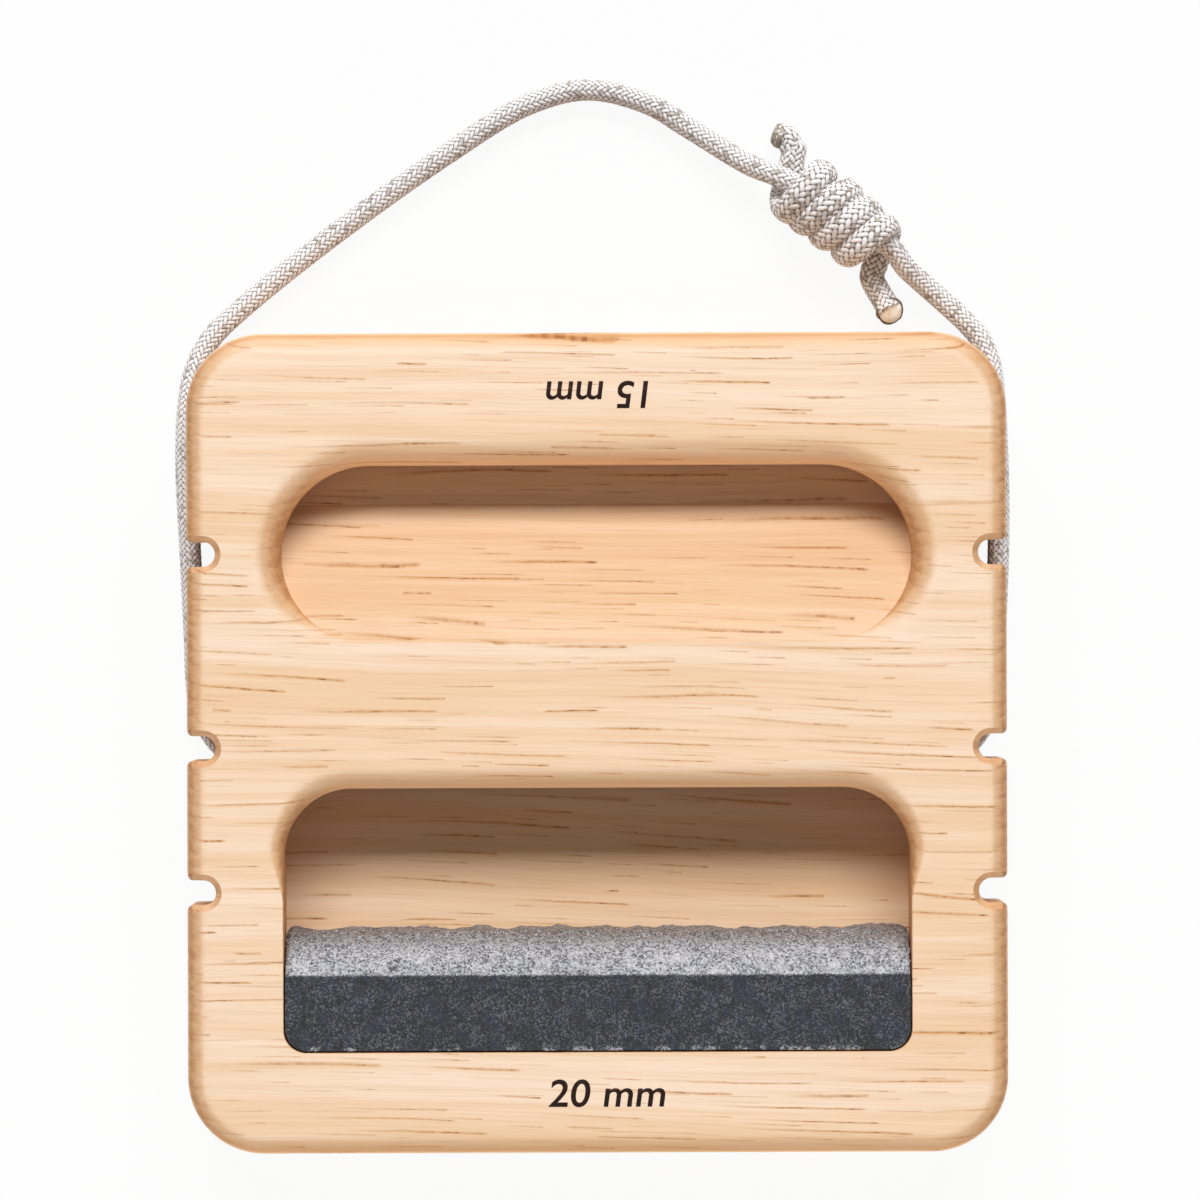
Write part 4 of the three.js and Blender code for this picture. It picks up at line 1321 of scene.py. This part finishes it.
def wood_material(grain, facing):
    material = new_material("oiled pale wood")
    tree = material.node_tree
    here = node(tree, "ShaderNodeTexCoord").outputs
    place = here["Object"]
    level = separated(tree, place)[2]
    wood = placed(tree, grain, {"Vector": place})
    turn = placed(tree, facing, {"Normal": here["Normal"]})
    side_grain = minus(tree, 1, turn["End"])
    glow, line, core = [times(tree, wood[name], side_grain) for name in ("Glow", "Line", "Core")]
    colour = face_grain(tree, wood, glow, line, core)
    colour = mix(tree, times(tree, turn["End"], 0.85), colour, end_grain(tree, place))
    # Where the surface turns from the face it is toned warmer and darker: partly the tone of cut wood, partly
    # painted shade. The painted shade is weaker on the board's outer sides.
    from_outside = minus(tree, 1, times(tree, outer_side(tree, place, level), 0.75))
    colour = toned(tree, colour, times(tree, turn["Turned"], from_outside), WOOD_TILT_TONE_AND_SHADE)
    # Steep rims and walls get darker still: painted shade.
    colour = toned(tree, colour, times(tree, turn["Steep"], from_outside), WOOD_STEEP_PAINTED_SHADE)
    # Level surfaces well below the face, the pocket floors and the back too, are darker and warmer: painted
    # shade.
    deep_shade = between(tree, level, BOARD_THICKNESS - FRONT_ROUND, BOARD_THICKNESS - 2 * FRONT_ROUND)
    colour = toned(tree, colour, times(tree, deep_shade, minus(tree, 1, turn["Turned"])), WOOD_POCKET_PAINTED_SHADE)
    height = minus(tree, times(tree, wood["Fibre"], 0.25), line)
    surface(material, colour, 0.6, height, WOOD_RELIEF, 0.6, Specular_IOR_Level=0.3)
    return material


def burn_material(grain):
    material = new_material("burned wood")
    tree = material.node_tree
    place = object_place(tree)
    wood = placed(tree, grain, {"Vector": place})
    patch = noise_value(tree, stretched(tree, place, BURN_PATCH_SIZE), detail=3)
    colour = mix(tree, between(tree, patch, 0.58, 0.95), linear(BURN), linear(WOOD_LINE_CORE))
    surface(material, colour, 0.8, wood["Fibre"], WOOD_RELIEF, 0.6, Specular_IOR_Level=0.2)
    return material


def stone_face_colour(tree, place, y, fine, coarse):
    """The ground face: dark grey with blue patches, pale specks, scratches and chips along its lower edge."""
    blue = between(tree, fine["Patches"], 0.42, 0.62)
    colour = mix(tree, blue, linear(STONE_FACE), linear(STONE_FACE_BLUE))
    thinned = times(tree, between(tree, coarse["Patches"], 0.36, 0.6), 0.65)
    specks = times(tree, between(tree, fine["Grains"], 0.48, 0.72), plus(tree, 0.35, thinned))
    colour = mix(tree, times(tree, specks, 0.8), colour, linear(STONE_FACE_SPECK))
    scratch = noise_value(tree, stretched(tree, place, SCRATCH_SIZE), detail=1)
    scratch = times(tree, between(tree, scratch, 0.7, 0.78), 0.5)
    colour = mix(tree, scratch, colour, linear(STONE_FACE_SPECK))
    chipped = times(
        tree,
        between(tree, y, *[LOWER_POCKET_BOTTOM_Y + height for height in EDGE_CHIPS_FADE]),
        between(tree, coarse["Patches"], 0.5, 0.6),
        between(tree, fine["Grains"], 0.4, 0.6),
        0.85,
    )
    return mix(tree, chipped, colour, linear(STONE_CHIP))


def stone_rough_colour(tree, past, coarse):
    """The broken side: light and dark grains, pale patches, and a browner ridge at its back."""
    grains = between(tree, coarse["Grains"], 0.28, 0.7)
    colour = mix(tree, grains, linear(STONE_ROUGH_DARK), linear(STONE_ROUGH_PALE))
    patches = times(tree, between(tree, coarse["Patches"], 0.42, 0.68), 0.4)
    colour = mix(tree, patches, colour, linear(STONE_CHIP))
    ridge_colour = mix(tree, grains, linear(STONE_RIDGE_DARK), linear(STONE_RIDGE))
    back = plus(tree, past, times(tree, coarse["Patches"], RIDGE_RAGGEDNESS))
    ridge = times(tree, between(tree, back, *RIDGE_FADE), 0.85)
    return mix(tree, ridge, colour, ridge_colour)


def stone_material(speckle):
    material = new_material("blue grey stone")
    tree = material.node_tree
    place = object_place(tree)
    y = separated(tree, place)[1]
    fine = placed(tree, speckle, {"Vector": place, "Grain Size": FACE_GRAIN_SIZE})
    coarse = placed(tree, speckle, {"Vector": place, "Grain Size": ROUGH_GRAIN_SIZE})
    ragged = times(tree, minus(tree, fine["Grains"], 0.5), LINE_RAGGEDNESS)
    past = minus(tree, minus(tree, y, STONE_LINE_Y), ragged)
    side = between(tree, past, -LINE_SOFTNESS, LINE_SOFTNESS)
    face = stone_face_colour(tree, place, y, fine, coarse)
    colour = mix(tree, side, face, stone_rough_colour(tree, past, coarse))
    relief = times(tree, coarse["Grains"], plus(tree, 0.25, side))
    surface(material, colour, 0.72, relief, STONE_RELIEF, 0.8, Specular_IOR_Level=0.35)
    return material


def chip_material():
    """Loose-looking mineral grains, each of its own tone."""
    material = new_material("mineral chips")
    tree = material.node_tree
    luck = node(tree, "ShaderNodeAttribute", attribute_name="luck").outputs["Fac"]
    colour = mix(tree, between(tree, luck, 0.25, 0.8), linear(STONE_ROUGH_DARK), linear(STONE_ROUGH_PALE))
    surface(material, colour, 0.6, luck, CHIP_RELIEF, 0.3, Specular_IOR_Level=0.4)
    return material


def braid_pattern(tree, place):
    """How high the sheath's strands stand across and along each float, and a random draw for each."""
    around, along, _ = separated(tree, place)
    turns = times(tree, around, BRAID_STRANDS)
    first = plus(tree, turns, along)
    second = minus(tree, turns, along)
    first_number = maths(tree, "FLOOR", first)
    second_number = maths(tree, "FLOOR", second)
    row = maths(tree, "FLOORED_MODULO", plus(tree, first_number, second_number), 4)
    over = maths(tree, "LESS_THAN", row, 1.5)
    first_way = maths(tree, "FLOORED_MODULO", first, 1)
    second_way = maths(tree, "FLOORED_MODULO", second, 1)
    across = node(tree, "ShaderNodeMix", {0: over, 2: second_way, 3: first_way}).outputs[0]
    first_run = plus(tree, row, second_way)
    second_run = plus(tree, minus(tree, row, 2), first_way)
    lengthwise = node(tree, "ShaderNodeMix", {0: over, 2: second_run, 3: first_run}).outputs[0]
    hump = maths(tree, "SINE", times(tree, across, math.pi))
    ends = maths(tree, "SINE", times(tree, lengthwise, math.pi / 2))
    ends = maths(tree, "POWER", maths(tree, "ABSOLUTE", ends), 0.5)
    luck = random_value(tree, combined(tree, first_number, second_number, over), "3D")[0]
    return hump, ends, luck


def cord_material(name, pale, gap_shade, fleck_start):
    """A braided sheath: two families of strands, each passing over two and under two of the other."""
    material = new_material(name)
    tree = material.node_tree
    place = node(tree, "ShaderNodeUVMap", uv_map="sheath").outputs[0]
    hump, ends, luck = braid_pattern(tree, place)
    fleck = between(tree, luck, fleck_start, fleck_start + 0.15)
    colour = mix(tree, fleck, linear(pale), linear(CORD_FLECK))
    thread = noise_value(tree, stretched(tree, place, THREAD_SHARES), detail=2)
    colour = mix(tree, times(tree, between(tree, thread, 0.5, 0.8), 0.35), colour, linear(CORD_FLECK))
    # Darker between the strands and where the floats dive under the others: painted shade.
    shade_beside_strands = times(tree, between(tree, hump, 0.6, 0.15), 0.5)
    colour = mix(tree, shade_beside_strands, colour, linear(gap_shade))
    shade_at_float_ends = times(tree, between(tree, ends, 0.72, 0.4), between(tree, hump, 1, 0.5))
    colour = mix(tree, shade_at_float_ends, colour, linear(gap_shade))
    height = times(tree, maths(tree, "POWER", maths(tree, "ABSOLUTE", hump), 0.6), ends)
    surface(material, colour, 0.75, height, SHEATH_RELIEF, 0.8, Sheen_Weight=0.15)
    return material


def lumpy_material(name, colours, lump_size, detail, fade, roughness):
    """Set or melted stuff, whose colour and height change from lump to lump; fade sharpens the change."""
    material = new_material(name)
    tree = material.node_tree
    lumps = noise_value(tree, stretched(tree, object_place(tree), (lump_size,) * 3), detail=detail)
    share = between(tree, lumps, *fade) if fade else lumps
    colour = mix(tree, share, linear(colours[0]), linear(colours[1]))
    surface(material, colour, roughness, lumps, LUMP_RELIEF, 0.5)
    return material


def melted_material(name, colours):
    return lumpy_material(name, colours, MELTED_PATCH_SIZE, 3, (0.45, 0.75), 0.35)


def glue_material():
    return lumpy_material("set glue", (GLUE, STONE_FACE), GLUE_LUMP_SIZE, 2, None, 0.4)


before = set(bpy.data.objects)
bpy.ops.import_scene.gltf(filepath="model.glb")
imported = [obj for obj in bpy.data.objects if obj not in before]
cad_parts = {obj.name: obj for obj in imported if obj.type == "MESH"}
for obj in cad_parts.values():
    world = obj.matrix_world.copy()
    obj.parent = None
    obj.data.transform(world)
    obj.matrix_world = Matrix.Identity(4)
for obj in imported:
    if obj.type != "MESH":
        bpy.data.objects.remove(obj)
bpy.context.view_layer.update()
bpy.context.scene.view_settings.view_transform = "Standard"

make_camera()
cord = cord_material("braided cord", CORD_PALE, CORD_GAP_SHADE, 0.82)
# The knot's copy of the cord material, with darker gaps and more grey flecks: painted shade.
shaded_knot_cord = cord_material("braided cord with painted knot shade", CORD_PALE_KNOT, CORD_GAP_SHADE_KNOT, 0.74)
sealed = melted_material("sealed sheath", (SEALED, SEALED_PALE))
scorched = melted_material("scorched sheath", (SCORCHED, SCORCHED_PALE))
cream = melted_material("melted core", (MELTED, MELTED_SHADE))
loop, loop_path = make_loop(cord)
knot_halves = [make_upper_half(shaded_knot_cord), make_lower_half(shaded_knot_cord)]
melted_ends = make_upper_end(sealed) + make_lower_end(scorched, cream)
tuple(loop_path[0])

make_lamp("key", **KEY_LAMP)
make_lamp("low_fill", **LOW_LAMP)
make_world()
make_floor()

grain_group = wood_grain_group()
speckle = speckle_group()
burn = burn_material(grain_group)
make_board(wood_material(grain_group, facing_group()))
stone_bar = make_stone(stone_material(speckle))
make_stone_chips(stone_bar, chip_material())
make_depth_mark("mark_15_mm", "15 mm", MARK_15_CENTRE, MARK_15_SIZE, True, burn)
make_depth_mark("mark_20_mm", "20 mm", MARK_20_CENTRE, MARK_20_SIZE, False, burn)
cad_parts["stone_adhesive"].data.materials.clear()
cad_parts["stone_adhesive"].data.materials.append(glue_material())
